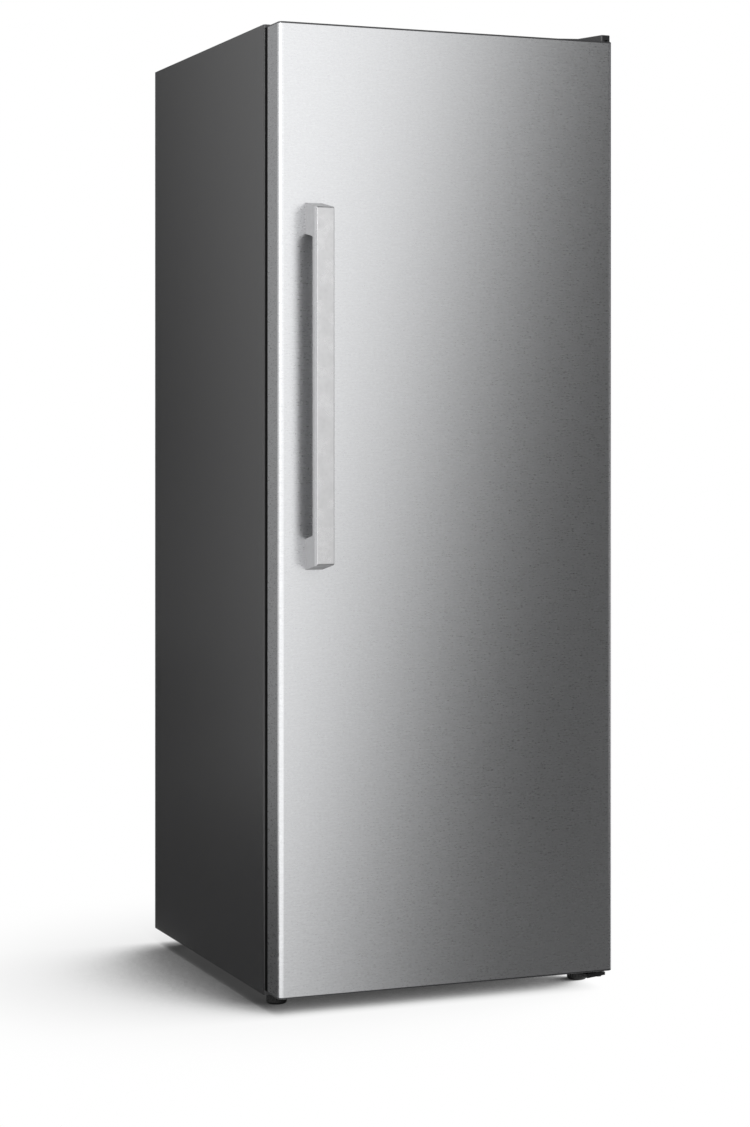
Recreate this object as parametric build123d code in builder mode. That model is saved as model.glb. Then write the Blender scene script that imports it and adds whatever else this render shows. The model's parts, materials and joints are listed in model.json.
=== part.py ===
from build123d import *
from math import cos, radians, sin
import os

# Upright frost-free freezer: foamed steel cabinet, one stainless door hung on the right,
# wire shelves and a bin inside, door racks, cold-air duct, and a compressor bay at the rear.
# Millimetres. +X is the viewer's right, the door faces -Y, +Z is up, the floor is Z = 0.

# ---- driving sizes: cabinet ------------------------------------------------------------
CABINET_WIDTH = 600
CABINET_DEPTH = 605
CABINET_TOP = 1610
CABINET_BOTTOM = 25
SHEET = 1.2  # painted steel sheet
EDGE_RADIUS = 4  # rolled front edge of the cabinet
FRONT_FLANGE = 25  # steel strip that the door seal grips
WALL = 55  # side wall: sheet, foam and liner together
TOP_WALL = 60
FLOOR_WALL = 60
REAR_WALL = 62
LINER = 2  # formed plastic sheet
CAVITY_RADIUS = 18
FLOOR_RADIUS = 8

BAY_DEPTH = 225  # compressor bay
BAY_TOP = 255
BAY_WALL = 48
BAY_FLOOR = 44
BAY_PLATE = 2
BAY_LIP = 20  # upturned rear edge of the bay floor
COVER_RECESS = 4  # rear cover, from the cabinet's back
COVER_FLANGE = 18  # strip that takes the cover's upper screws
RAIL_HEIGHT = 30
RAIL_DEPTH = 60
RAIL_SHEET = 2

# ---- driving sizes: door ---------------------------------------------------------------
DOOR_THICKNESS = 57
DOOR_BOTTOM = 32
DOOR_DROP = 5  # door's top below the cabinet's top
DOOR_SHEET = 1
DOOR_RADIUS = 8  # long front edges
DOOR_REAR_RADIUS = 2.5
DOOR_CAP = 3  # visible edge of the end caps
DOOR_CAP_RIM = 12
DOOR_CAP_WALL = 2.5
DOOR_CAP_RADIUS = 1.8
DOOR_RETURN = 14  # folded-in rear edge of the door sheet
LINER_EDGE = 12  # door liner's flange, from the door's edge
SEAL_GAP = 16
SEAL_CLEARANCE = 0.3
SEAL_OUT = 1  # seal's outer side, from the door's edge
SEAL_HINGE_BASE = 4  # the same on the hinge side, clear of the swing
SEAL_HINGE_NECK = 8
SEAL_HINGE_FACE = 12
SEAL_BASE_IN = 28  # seal's inner side
SEAL_NECK_IN = 25
SEAL_FACE_IN = 24
SEAL_BASE_END = 6  # from the door's back
SEAL_NECK_END = 8
DIKE_INSET = 68  # door liner's raised ridge, from the door's side
DIKE_LOW_INSET = 72
DIKE_HIGH_INSET = 111
DIKE_WIDTH = 26
DIKE_DEPTH = 80
DIKE_RADIUS = 5
DIKE_FACE = 5  # liner and foam short of the ridge's face
DIKE_FOAM_GAP = 0.2  # the ridge's own foam, from the door's

HINGE_PIN_RADIUS = 4
HINGE_PIN_INSET = 14  # from the door's right side
HINGE_PIN_SETBACK = 28  # from the door's front face
HINGE_PIN_GRIP = 14  # how far each pin reaches into the door
RUNNING = 0.05  # radial running clearance of pins and shafts
BUSH_RADIUS = 7
BUSH_WALL = 5  # cap's boss round the bush
BUSH_FLANGE_RADIUS = 10
BUSH_FLANGE = 0.7
HINGE_PLATE = 3
LOWER_PLATE = 4
HINGE_INSET = 5  # upper plate, from the cabinet's side
LOWER_INSET = 1.5
HINGE_SPAN = 70
HINGE_SHOULDER = 30
LOWER_SHOULDER = 52
HINGE_REACH = 58  # plates, behind the cabinet's face
HINGE_SHOULDER_SETBACK = 8
HINGE_FRONT = 7  # plates, in front of the pin
HINGE_TONGUE = 20  # tongues' left side, from the cabinet's side
LOWER_TONGUE = 42
HINGE_CORNER = 5
HINGE_SCREW_NEAR = 20
HINGE_SCREW_FAR = 60
HINGE_SCREW_REAR = 50
HINGE_SCREW_FRONT = 20
STUD_ROOM = 1
PIN_HEAD_RADIUS = 6
PIN_HEAD = 2.5
PAD_DEPTH = 3.5  # stiffening wedge under the lower tongue
PAD_END = 3
PAD_SETBACK = 1  # in front of the cabinet
COVER_HEIGHT = 7
COVER_WALL = 1.2
COVER_GAP = 1  # hinge cover above the door, and in front of the cabinet
COVER_INSET = 0.5
COVER_NOSE = 16.5  # cover's front, from the cabinet's side
COVER_SETBACK = 8  # behind the door's front face
COVER_WAIST = 34.5
COVER_WAIST_DEPTH = 62
COVER_SPAN = 78
COVER_REACH = 64  # behind the cabinet's face
COVER_EDGE = 1
COVER_CORNER = 3
COVER_NOTCH = 2.5
COVER_NOTCH_WIDTH = 5
COVER_NOTCH_INSET = 8.5

HANDLE_REACH = 54
HANDLE_INSET = 45  # from the door's left side
HANDLE_WIDTH = 29.5
HANDLE_BAR = 20.5  # bar's size towards the door, trim included
HANDLE_TRIM = 12
HANDLE_LENGTH = 572
HANDLE_DROP = 301  # handle's top below the door's top
HANDLE_RAKE = 10  # how much further out each end stands at the door
HANDLE_POST = 50
HANDLE_RADIUS = 3.5  # ends of the trim
HANDLE_EDGE = 1
HANDLE_CORNER = 4  # inner corners of the finger gap

# ---- driving sizes: feet and rollers ---------------------------------------------------
FOOT_LEFT_INSET = 38
FOOT_LEFT_SETBACK = 45  # behind the cabinet's front face
FOOT_RIGHT_INSET = 18
FOOT_RIGHT_SETBACK = 27
FOOT_RADIUS = 17
FOOT_HEIGHT = 20
FOOT_FLUTES = 20
FLUTE_RADIUS = 2
FLUTE_OUT = 1.2  # flutes' centres outside the foot's rim
FLUTE_START = 6
FOOT_EDGE = 4
FOOT_TOP_EDGE = 0.6
STUD_RADIUS = 5
STUD_TOP = 48
STUD_EDGE = 1
NUT_RADIUS = 9
NUT_HEIGHT = 8
ROLLER_RADIUS = 19
ROLLER_WIDTH = 18
ROLLER_EDGE = 1.2
ROLLER_INSET = 52
ROLLER_SETBACK = 55
ROLLER_GAP = 1  # roller to bracket, each side
BRACKET_SHEET = 2
BRACKET_HALF = 16
BRACKET_DROP = 8  # bracket below the axle
AXLE_RADIUS = 4
AXLE_HEAD = 2
AXLE_SEAT = 0.02

# ---- driving sizes: shelves, bin and racks ---------------------------------------------
SHELF_COUNT = 5
SHELF_RISE = 19  # lowest shelf above the compressor hump
SHELF_TOP_ROOM = 226  # highest shelf to the control housing
SHELF_SIDE_GAP = 4
SHELF_REAR_GAP = 6
SHELF_SETBACK = 95
SHELF_CORNER = 14
SHELF_FRAME = 3  # wire radii
SHELF_WIRE = 1.6
SHELF_BAR = 2.4
SHELF_WIRES = 25
SHELF_WELD = 1  # depth that welded wires share
CLIP_LENGTH = 24
CLIP_HEIGHT = 10
CLIP_WALL = 9
CLIP_INSET = 45  # clips' middle, from the shelf's ends
CLIP_REACH = 3  # beyond the shelf's frame wire
CLIP_GAP = 0.1  # under the wire
CLIP_SIDE_GAP = 0.5

BIN_SIDE_GAP = 9
BIN_FRONT_GAP = 4
BIN_REAR_GAP = 5
BIN_HEIGHT = 166
BIN_WALL = 2.5
BIN_RADIUS = 16
BIN_RIM = 3
BIN_RIM_HEIGHT = 5
BIN_SLOT = 34
BIN_SLOT_WIDTH = 7
BIN_SLOT_PITCH = 26
BIN_SLOT_ROWS = 44
BIN_SLOT_COUNT = 15

RACK_COUNT = 4
RACK_FIRST = 180
RACK_TOP_ROOM = 324  # highest rack to the top of the ridge
RACK_HEIGHT = 88
RACK_DEPTH = 92
RACK_WALL = 2.2
RACK_RIM = 4
RACK_RIM_LENGTH = 40
RACK_RIM_START = 20  # from the door's back
RACK_RADIUS = 4
RACK_GAP = 0.4
LUG_HEIGHT = 14
LUG_REACH = 8
LUG_OVER = 2  # lug beyond the rim, each end

# ---- driving sizes: cold air -----------------------------------------------------------
DUCT_DEPTH = 62
DUCT_SIDE_GAP = 21.5
DUCT_TOP_GAP = 22
DUCT_SHEET = 2.5
DUCT_RADIUS = 10
AIR_SLOT = 96
AIR_SLOT_WIDTH = 7
AIR_SLOT_PITCH = 124
AIR_SLOT_ROWS = 16
AIR_SLOT_DROP = 90  # slots below the shelf above
AIR_SLOT_SIDE = 140  # slots beside the fan
INTAKE_SLOT = 40
INTAKE_WIDTH = 8
INTAKE_PITCH = 28
INTAKE_COUNT = 13
INTAKE_RISE = 36
FAN_RISE = 128  # fan above the second shelf
FAN_RADIUS = 50
FAN_SHAFT = 2.5
FAN_HUB = 13
FAN_HUB_DEPTH = 20
FAN_HUB_CAP = 2
FAN_BLADES = 5
FAN_BLADE_ROOT = 11
FAN_BLADE_CHORD = 30
FAN_BLADE_SHEET = 1.8
FAN_BLADE_TILT = 28
GRILLE_PITCH = 10
GRILLE_SLOT = 5
GRILLE_ROWS = 4  # above and below the middle
SHROUD_DEPTH = 22
SHROUD_GAP = 3.5
SHROUD_WALL = 2.5
MOTOR_RADIUS = 21
MOTOR_REAR = 3
MOTOR_FRONT = 28
MOTOR_STRAP = 60
MOTOR_STRAP_HALF = 9
MOTOR_TO_HUB = 4

COIL_TUBE = 4
COIL_ROWS = 6
COIL_PITCH = 30
COIL_COLUMN = 24
COIL_RISE = 89  # above the compressor hump
COIL_SIDE_GAP = 57  # fins to the duct's side
COIL_TURN = 10  # return bends beyond the fins
COIL_BEND = 11.5
COIL_LEAD = 22
COIL_DROP = 25
FIN_COUNT = 23
FIN_SHEET = 0.8
FIN_MARGIN = 13
LINE_SPACING = 12
HEATER_DROP = 30
HEATER_RADIUS = 3.2
HEATER_BEND = 11.5
HEATER_FOOT = 3
HEATER_FOOT_INSET = 30
HEATER_FOOT_REACH = 8
HEATER_SINK = 1  # tube and foot share this depth
TROUGH_SIDE = 14
TROUGH_GAP = 1
TROUGH_RIM = 24
TROUGH_WALL = 2
DRAIN_RADIUS = 9
DRAIN_TAIL = 20  # drain's end above the drip pan's floor
DRAIN_OFFSET = 30  # from the compressor's middle

# ---- driving sizes: refrigerant circuit ------------------------------------------------
COMPRESSOR_LONG = 88
COMPRESSOR_SHORT = 68
COMPRESSOR_HIGH = 145
COMPRESSOR_SETBACK = 115
COMPRESSOR_DOME = 34
COMPRESSOR_SKIRT = 20
SEAM_RISE = 74
SEAM_HEIGHT = 5
SEAM_REACH = 3
FOOT_PLATE = 4
FOOT_PLATE_LONG = 8  # beyond the shell
FOOT_PLATE_SHORT = 4
FOOT_PLATE_CORNER = 14
GROMMET_HEIGHT = 12
GROMMET_RADIUS = 12
GROMMET_NECK = 4.9
GROMMET_HOLE = 5
GROMMET_NECK_RISE = 6
GROMMET_INSET_LONG = 8
GROMMET_INSET_SHORT = 6
STUB_WALL = 1.2
STUB_ROOT = 30  # stubs start inside the shell
STUB_REACH = 6
SUCTION_REACH = 12
SUCTION_RISE = 43
DISCHARGE_RISE = 48
TERMINAL_SINK = 16
TERMINAL_LENGTH = 46
TERMINAL_HALF = 27
TERMINAL_LOW = 22
TERMINAL_HIGH = 70
TERMINAL_EDGE = 5
PAN_LONG = 98
PAN_SHORT = 74
PAN_HEIGHT = 34
PAN_RADIUS = 14
LINE_RADIUS = 4  # suction line
LINE_BEND = 12
LINE_TO_STUB = 21
TUBE_RADIUS = 2.4  # condenser tube
CAPILLARY_RADIUS = 1.2
CAPILLARY_BEND = 15
CAPILLARY_END_BEND = 9
CONDENSER_TOP_GAP = 40
CONDENSER_LOW_GAP = 30
CONDENSER_RETURN_GAP = 70
CONDENSER_FRONT = 34
CONDENSER_RUNS = 4  # even
CONDENSER_OUTLET_BEND = 9
CONDENSER_CORNER = 20
CONDENSER_BEND = 30
REAR_RUN = 28  # condenser tube's rear run, from the cabinet's back
TUBE_SEAT = 0.15  # condenser tube to the steel side
TUBE_ROOM = 0.4  # condenser tube in its channel
HOLE_ROOM = 0.15  # other tubes in the sheet above the bay
DRYER_X = 118  # middle of the dryer
DRYER_RADIUS = 9
DRYER_HALF = 39
DRYER_NECK = 5
DRYER_NECK_HALF = 52
DRYER_SETBACK = 20
DRYER_Z = 175

LOUVRE = 96
LOUVRE_WIDTH = 6
LOUVRE_PITCH = 120
LOUVRE_ROWS = 17
LOUVRE_COLUMN_COUNT = 3
LOUVRE_ROW_COUNT = 9
LOUVRE_RISE = 104
GLAND_RADIUS = 9.8
GLAND_HOLE = 10
GLAND_FLANGE = 13
GLAND_BORE = 4
GLAND_INSET = 60
GLAND_DEPTH = 10

# ---- driving sizes: controls -----------------------------------------------------------
CONTROL_HALF = 100
CONTROL_HEIGHT = 42
CONTROL_SETBACK = 22
CONTROL_DEPTH = 108
CONTROL_WALL = 2
CONTROL_EDGE = 8
DIAL_X = -55
DIAL_RADIUS = 17
DIAL_DEPTH = 9
DIAL_GAP = 0.3
DIAL_EDGE = 1.5
DIAL_GRIP = 14
DIAL_GRIP_HALF = 2.5
DIAL_GRIP_STANDS = 2.2
DIAL_SHAFT = 3
DIAL_SHAFT_LENGTH = 22
BUTTON_X = 8
BUTTON_WIDTH = 16
BUTTON_HEIGHT = 10
BUTTON_PROUD = 1  # still stands out when pressed
BUTTON_DEPTH = 6
BUTTON_LIP = 2
BUTTON_ROOM = 0.2
BUTTON_TRAVEL = 2
BUTTON_STOP = 0.3
BUTTON_EDGE = 1
LENS_HALF = 60
LENS_START = 30
LENS_DEPTH = 46
LENS_BULGE = 3
LENS_LIP = 3
LENS_SHEET = 1.5
LENS_EDGE = 2

SCREW_RADIUS = 2.5
SCREW_HEAD = 5
SCREW_HEAD_HEIGHT = 2.5
SCREW_LENGTH = 12
SCREW_ROOM = 0.1
COVER_SCREW_LENGTH = 8
COVER_SCREW_HEAD = 2.2
COVER_SCREW_INSET = 22
COVER_SIDE_GAP = 0.5

# ---- places worked out from them -------------------------------------------------------
TOTAL_DEPTH = HANDLE_REACH + DOOR_THICKNESS + SEAL_GAP + CABINET_DEPTH
BACK = TOTAL_DEPTH / 2
FRONT = BACK - CABINET_DEPTH
DOOR_BACK = FRONT - SEAL_GAP
DOOR_FRONT = DOOR_BACK - DOOR_THICKNESS
DOOR_TOP = CABINET_TOP - DOOR_DROP
SIDE = CABINET_WIDTH / 2
INSIDE = SIDE - SHEET
PIN_X = SIDE - HINGE_PIN_INSET
PIN_Y = DOOR_FRONT + HINGE_PIN_SETBACK

CAVITY_X = SIDE - WALL
CAVITY_LOW = CABINET_BOTTOM + FLOOR_WALL
CAVITY_HIGH = CABINET_TOP - TOP_WALL
CAVITY_BACK = BACK - REAR_WALL
BAY_FRONT = BACK - BAY_DEPTH
BAY_BACK = BACK - COVER_RECESS
HUMP_FRONT = BAY_FRONT - BAY_WALL
HUMP_TOP = BAY_TOP + BAY_WALL
DUCT_FRONT = CAVITY_BACK - DUCT_DEPTH
DUCT_HALF = CAVITY_X - DUCT_SIDE_GAP
RAIL_TOP = CABINET_BOTTOM + RAIL_HEIGHT
LIP_X = SIDE - FRONT_FLANGE
LIP_TOP = CABINET_TOP - FRONT_FLANGE

CONTROL_FACE = FRONT + CONTROL_SETBACK
CONTROL_LOW = CAVITY_HIGH - CONTROL_HEIGHT
CONTROL_MIDDLE = CAVITY_HIGH - CONTROL_HEIGHT / 2
BUTTON_STANDS = BUTTON_TRAVEL + BUTTON_PROUD

DIKE_X = SIDE - DIKE_INSET
DIKE_LOW = DOOR_BOTTOM + DIKE_LOW_INSET
DIKE_HIGH = DOOR_TOP - DIKE_HIGH_INSET
RACK_SPACE = DIKE_X - DIKE_WIDTH
RACK_STEP = (DIKE_HIGH - RACK_TOP_ROOM - RACK_FIRST) / (RACK_COUNT - 1)
RACK_HEIGHTS = [RACK_FIRST + i * RACK_STEP for i in range(RACK_COUNT)]
SHELF_FRONT = FRONT + SHELF_SETBACK
SHELF_BACK = DUCT_FRONT - SHELF_REAR_GAP
SHELF_HALF = CAVITY_X - SHELF_SIDE_GAP
SHELF_FIRST = HUMP_TOP + SHELF_RISE
SHELF_STEP = (CONTROL_LOW - SHELF_TOP_ROOM - SHELF_FIRST) / (SHELF_COUNT - 1)
SHELF_HEIGHTS = [SHELF_FIRST + i * SHELF_STEP for i in range(SHELF_COUNT)]
BIN_TOP = CAVITY_LOW + BIN_HEIGHT
FAN_HEIGHT = SHELF_HEIGHTS[1] + FAN_RISE
HUB_BACK = CAVITY_BACK - MOTOR_FRONT - MOTOR_TO_HUB
HUB_FRONT = HUB_BACK - FAN_HUB_DEPTH

COIL_HALF = DUCT_HALF - COIL_SIDE_GAP
COIL_MIDDLE = (DUCT_FRONT + CAVITY_BACK) / 2
COIL_NEAR = COIL_MIDDLE - COIL_COLUMN / 2
COIL_FAR = COIL_MIDDLE + COIL_COLUMN / 2
COIL_BOTTOM = HUMP_TOP + COIL_RISE
COIL_TOP = COIL_BOTTOM + (COIL_ROWS - 1) * COIL_PITCH
COIL_END = -COIL_HALF - COIL_LEAD
CAPILLARY_X = COIL_END - LINE_SPACING
LINE_X = CAPILLARY_X - LINE_SPACING

SUCTION_X = LINE_X + LINE_TO_STUB
COMPRESSOR_X = SUCTION_X + SUCTION_REACH + COMPRESSOR_LONG
COMPRESSOR_Y = BACK - COMPRESSOR_SETBACK
COMPRESSOR_LOW = BAY_FLOOR + BAY_PLATE + GROMMET_HEIGHT
COMPRESSOR_BODY = COMPRESSOR_LOW + FOOT_PLATE
COMPRESSOR_TOP = COMPRESSOR_BODY + COMPRESSOR_HIGH
COMPRESSOR_FEET = [
    (
        COMPRESSOR_X + sx * (COMPRESSOR_LONG - GROMMET_INSET_LONG),
        COMPRESSOR_Y + sy * (COMPRESSOR_SHORT - GROMMET_INSET_SHORT),
    )
    for sx in (-1, 1)
    for sy in (-1, 1)
]
SUCTION_Z = COMPRESSOR_BODY + SUCTION_RISE
DISCHARGE_Y = COMPRESSOR_Y + COMPRESSOR_SHORT + STUB_REACH
DISCHARGE_Z = COMPRESSOR_BODY + DISCHARGE_RISE
DRAIN_X = COMPRESSOR_X + DRAIN_OFFSET
DRYER_Y = BAY_FRONT + DRYER_SETBACK
TUBE_X = INSIDE - TUBE_RADIUS - TUBE_SEAT
COVER_SCREWS_X = (-SIDE + COVER_SCREW_INSET, SIDE - COVER_SCREW_INSET)
COVER_SCREW_HIGH = BAY_TOP - COVER_FLANGE / 2
COVER_SCREW_LOW = BAY_FLOOR + (BAY_PLATE + BAY_LIP) / 2

FOOT_PLACES = {
    "foot_left": (-SIDE + FOOT_LEFT_INSET, FRONT + FOOT_LEFT_SETBACK),
    "foot_right": (SIDE - FOOT_RIGHT_INSET, FRONT + FOOT_RIGHT_SETBACK),
}
ROLLER_Y = BACK - ROLLER_SETBACK
ROLLER_PLACES = {"roller_left": -SIDE + ROLLER_INSET, "roller_right": SIDE - ROLLER_INSET}
HINGE_SCREWS = [
    (SIDE - HINGE_SCREW_NEAR, FRONT + HINGE_SCREW_REAR),
    (SIDE - HINGE_SCREW_FAR, FRONT + HINGE_SCREW_REAR),
    (SIDE - HINGE_SCREW_FAR, FRONT + HINGE_SCREW_FRONT),
]
HANDLE_X = -SIDE + HANDLE_INSET + HANDLE_WIDTH / 2
HANDLE_HIGH = DOOR_TOP - HANDLE_DROP
HANDLE_LOW = HANDLE_HIGH - HANDLE_LENGTH
HANDLE_SCREWS = [
    (HANDLE_X, z)
    for z in (
        HANDLE_LOW + HANDLE_POST / 3,
        HANDLE_LOW + HANDLE_POST * 0.8,
        HANDLE_HIGH - HANDLE_POST * 0.8,
        HANDLE_HIGH - HANDLE_POST / 3,
    )
]

os.makedirs("parts", exist_ok=True)


def save(piece, label):
    """Names a finished piece and writes it as one STEP file."""
    piece.part.label = label
    export_step(piece.part, f"parts/{label}.step")


def block(x0, x1, y0, y1, z0, z1, mode=Mode.ADD):
    """A box given by its two corners."""
    with Locations(((x0 + x1) / 2, (y0 + y1) / 2, (z0 + z1) / 2)):
        Box(x1 - x0, y1 - y0, z1 - z0, mode=mode)


def rounded_block(x0, x1, y0, y1, z0, z1, radius, mode=Mode.ADD):
    """A box with rounded upright edges."""
    with BuildSketch(Plane.XY.offset(z0)) as outline:
        with Locations(((x0 + x1) / 2, (y0 + y1) / 2)):
            RectangleRounded(x1 - x0, y1 - y0, radius)
    extrude(outline.sketch, amount=z1 - z0, mode=mode)


def post(x, y, z0, z1, radius, mode=Mode.ADD):
    """An upright cylinder from z0 to z1."""
    with Locations((x, y, (z0 + z1) / 2)):
        Cylinder(radius, z1 - z0, mode=mode)


def spindle(x, z, y0, y1, radius, mode=Mode.ADD):
    """A cylinder that lies along Y from y0 to y1."""
    with Locations(Location((x, (y0 + y1) / 2, z), (90, 0, 0))):
        Cylinder(radius, y1 - y0, mode=mode)


def frame(half_out, half_in, low_out, low_in, high_out, high_in, y0, y1, mode=Mode.ADD):
    """A flat rectangular ring that stands upright, from y0 to y1."""
    with BuildSketch(Plane.XZ.offset(-y1)) as ring:
        with Locations((0, (low_out + high_out) / 2)):
            Rectangle(2 * half_out, high_out - low_out)
        with Locations((0, (low_in + high_in) / 2)):
            Rectangle(2 * half_in, high_in - low_in, mode=Mode.SUBTRACT)
    extrude(ring.sketch, amount=y1 - y0, mode=mode)


def tube(points, radii, radius, mode=Mode.ADD):
    """A round tube along straight runs joined by tangent arcs."""
    with BuildLine() as route:
        FilletPolyline(*points, radius=radii)
    path = route.wire()
    with BuildSketch(Plane(origin=path @ 0, z_dir=path % 0)) as section:
        Circle(radius)
    sweep(section.sketch, path=path, mode=mode)


def front_edges(builder, y):
    """The upright edges that lie at depth y."""
    return builder.edges().filter_by(Axis.Z).filter_by_position(Axis.Y, y - 0.01, y + 0.01)


# ---- cabinet ---------------------------------------------------------------------------
def make_shell_room():
    """The space inside the steel wrapper."""
    with BuildPart() as room:
        block(-INSIDE, INSIDE, FRONT + SHEET, BACK, CABINET_BOTTOM, CABINET_TOP - SHEET)
        fillet(front_edges(room, FRONT + SHEET), EDGE_RADIUS - SHEET)
    return room.part


def make_outer_shell(room):
    """Painted steel wrapper: both sides, the top and the flange that the seal grips."""
    with BuildPart() as shell:
        block(-SIDE, SIDE, FRONT, BACK, CABINET_BOTTOM, CABINET_TOP)
        fillet(front_edges(shell, FRONT), EDGE_RADIUS)
        add(room, mode=Mode.SUBTRACT)
        block(-LIP_X, LIP_X, FRONT, FRONT + SHEET, CABINET_BOTTOM, LIP_TOP, mode=Mode.SUBTRACT)
        for x, y in HINGE_SCREWS:
            post(x, y, CABINET_TOP - SHEET, CABINET_TOP, SCREW_RADIUS + SCREW_ROOM, mode=Mode.SUBTRACT)
    save(shell, "outer_shell")


def make_cavity(grow):
    """The cold space, grown outwards all round by a thickness."""
    with BuildPart() as cavity:
        with BuildSketch(Plane.YZ.offset(-CAVITY_X - grow)):
            with BuildLine():
                Polyline(
                    (FRONT, CAVITY_LOW - grow),
                    (HUMP_FRONT + grow, CAVITY_LOW - grow),
                    (HUMP_FRONT + grow, HUMP_TOP - grow),
                    (CAVITY_BACK + grow, HUMP_TOP - grow),
                    (CAVITY_BACK + grow, CAVITY_HIGH + grow),
                    (FRONT, CAVITY_HIGH + grow),
                    close=True,
                )
            make_face()
        extrude(amount=2 * (CAVITY_X + grow))
        fillet(front_edges(cavity, CAVITY_BACK + grow), CAVITY_RADIUS + grow)
        long_edges = cavity.edges().filter_by(Axis.Y).group_by(Axis.Z)
        fillet(long_edges[-1], CAVITY_RADIUS + grow)
        fillet(long_edges[0], FLOOR_RADIUS + grow)
    return cavity.part


def make_inner_liner(cavity, liner_form):
    """White formed tub with a lip that reaches the steel flange."""
    with BuildPart() as liner:
        add(liner_form)
        block(-LIP_X, LIP_X, FRONT, FRONT + LINER, RAIL_TOP, LIP_TOP)
        add(cavity, mode=Mode.SUBTRACT)
        post(DRAIN_X, COIL_MIDDLE, HUMP_TOP - LINER, HUMP_TOP, DRAIN_RADIUS + RUNNING, mode=Mode.SUBTRACT)
        post(LINE_X, COIL_NEAR, HUMP_TOP - LINER, HUMP_TOP, LINE_RADIUS + RUNNING, mode=Mode.SUBTRACT)
        post(
            CAPILLARY_X,
            COIL_NEAR,
            HUMP_TOP - LINER,
            HUMP_TOP,
            CAPILLARY_RADIUS + RUNNING,
            mode=Mode.SUBTRACT,
        )
    save(liner, "inner_liner")


def condenser_route():
    """Compressor outlet, up the right-hand wall, the upright runs, and down to the dryer."""
    top = CAVITY_HIGH - CONDENSER_TOP_GAP
    low = HUMP_TOP + CONDENSER_LOW_GAP
    inner_top = top - CONDENSER_RETURN_GAP
    front_run = FRONT + CONDENSER_FRONT
    pitch = (DRYER_Y - front_run) / CONDENSER_RUNS
    rear_run = BACK - REAR_RUN
    points = [
        (COMPRESSOR_X, DISCHARGE_Y, DISCHARGE_Z),
        (COMPRESSOR_X, rear_run, DISCHARGE_Z),
        (TUBE_X, rear_run, DISCHARGE_Z),
        (TUBE_X, rear_run, top),
        (TUBE_X, front_run, top),
        (TUBE_X, front_run, low),
    ]
    for i in range(1, CONDENSER_RUNS):
        turns = (low, inner_top) if i % 2 else (inner_top, low)
        points += [(TUBE_X, front_run + i * pitch, z) for z in turns]
    points.append((TUBE_X, DRYER_Y, inner_top))
    points.append((TUBE_X, DRYER_Y, DRYER_Z))
    points.append((DRYER_X + DRYER_NECK_HALF, DRYER_Y, DRYER_Z))
    wide_bends = [CONDENSER_BEND] * (len(points) - 5)
    radii = [CONDENSER_OUTLET_BEND, CONDENSER_CORNER] + wide_bends + [CONDENSER_CORNER]
    return points, radii


def make_condenser_tube():
    """Hot-wall condenser: one steel tube against the inside of the right-hand side."""
    points, radii = condenser_route()
    with BuildPart() as condenser:
        tube(points, radii, TUBE_RADIUS)
    save(condenser, "condenser_tube")


def make_insulation(room, liner_form):
    """Polyurethane foam between the wrapper and the liner."""
    points, radii = condenser_route()
    with BuildPart() as foam:
        add(room)
        block(-SIDE, SIDE, BACK - SHEET, BACK, 0, CABINET_TOP, mode=Mode.SUBTRACT)
        block(-SIDE, SIDE, FRONT, BACK, 0, CABINET_BOTTOM + SHEET, mode=Mode.SUBTRACT)
        block(-LIP_X, LIP_X, FRONT, FRONT + LINER, 0, LIP_TOP, mode=Mode.SUBTRACT)
        add(liner_form, mode=Mode.SUBTRACT)
        block(-SIDE, SIDE, FRONT, FRONT + RAIL_DEPTH + SHEET, 0, RAIL_TOP, mode=Mode.SUBTRACT)
        block(-SIDE, SIDE, BAY_FRONT - SHEET, BACK, 0, BAY_TOP, mode=Mode.SUBTRACT)
        tube(points, radii, TUBE_RADIUS + TUBE_ROOM, mode=Mode.SUBTRACT)
        post(DRAIN_X, COIL_MIDDLE, BAY_TOP, HUMP_TOP, DRAIN_RADIUS + RUNNING, mode=Mode.SUBTRACT)
        post(LINE_X, COIL_NEAR, BAY_TOP, HUMP_TOP, LINE_RADIUS + RUNNING, mode=Mode.SUBTRACT)
        post(CAPILLARY_X, COIL_NEAR, BAY_TOP, HUMP_TOP, CAPILLARY_RADIUS + RUNNING, mode=Mode.SUBTRACT)
        for x, y in HINGE_SCREWS:
            post(
                x,
                y,
                CABINET_TOP - SCREW_LENGTH,
                CABINET_TOP,
                SCREW_RADIUS + SCREW_ROOM,
                mode=Mode.SUBTRACT,
            )
    save(foam, "insulation_foam")


def make_back_panel():
    """Flat steel back above the compressor bay."""
    with BuildPart() as panel:
        block(-INSIDE, INSIDE, BACK - SHEET, BACK, BAY_TOP, CABINET_TOP - SHEET)
    save(panel, "back_panel")


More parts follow.
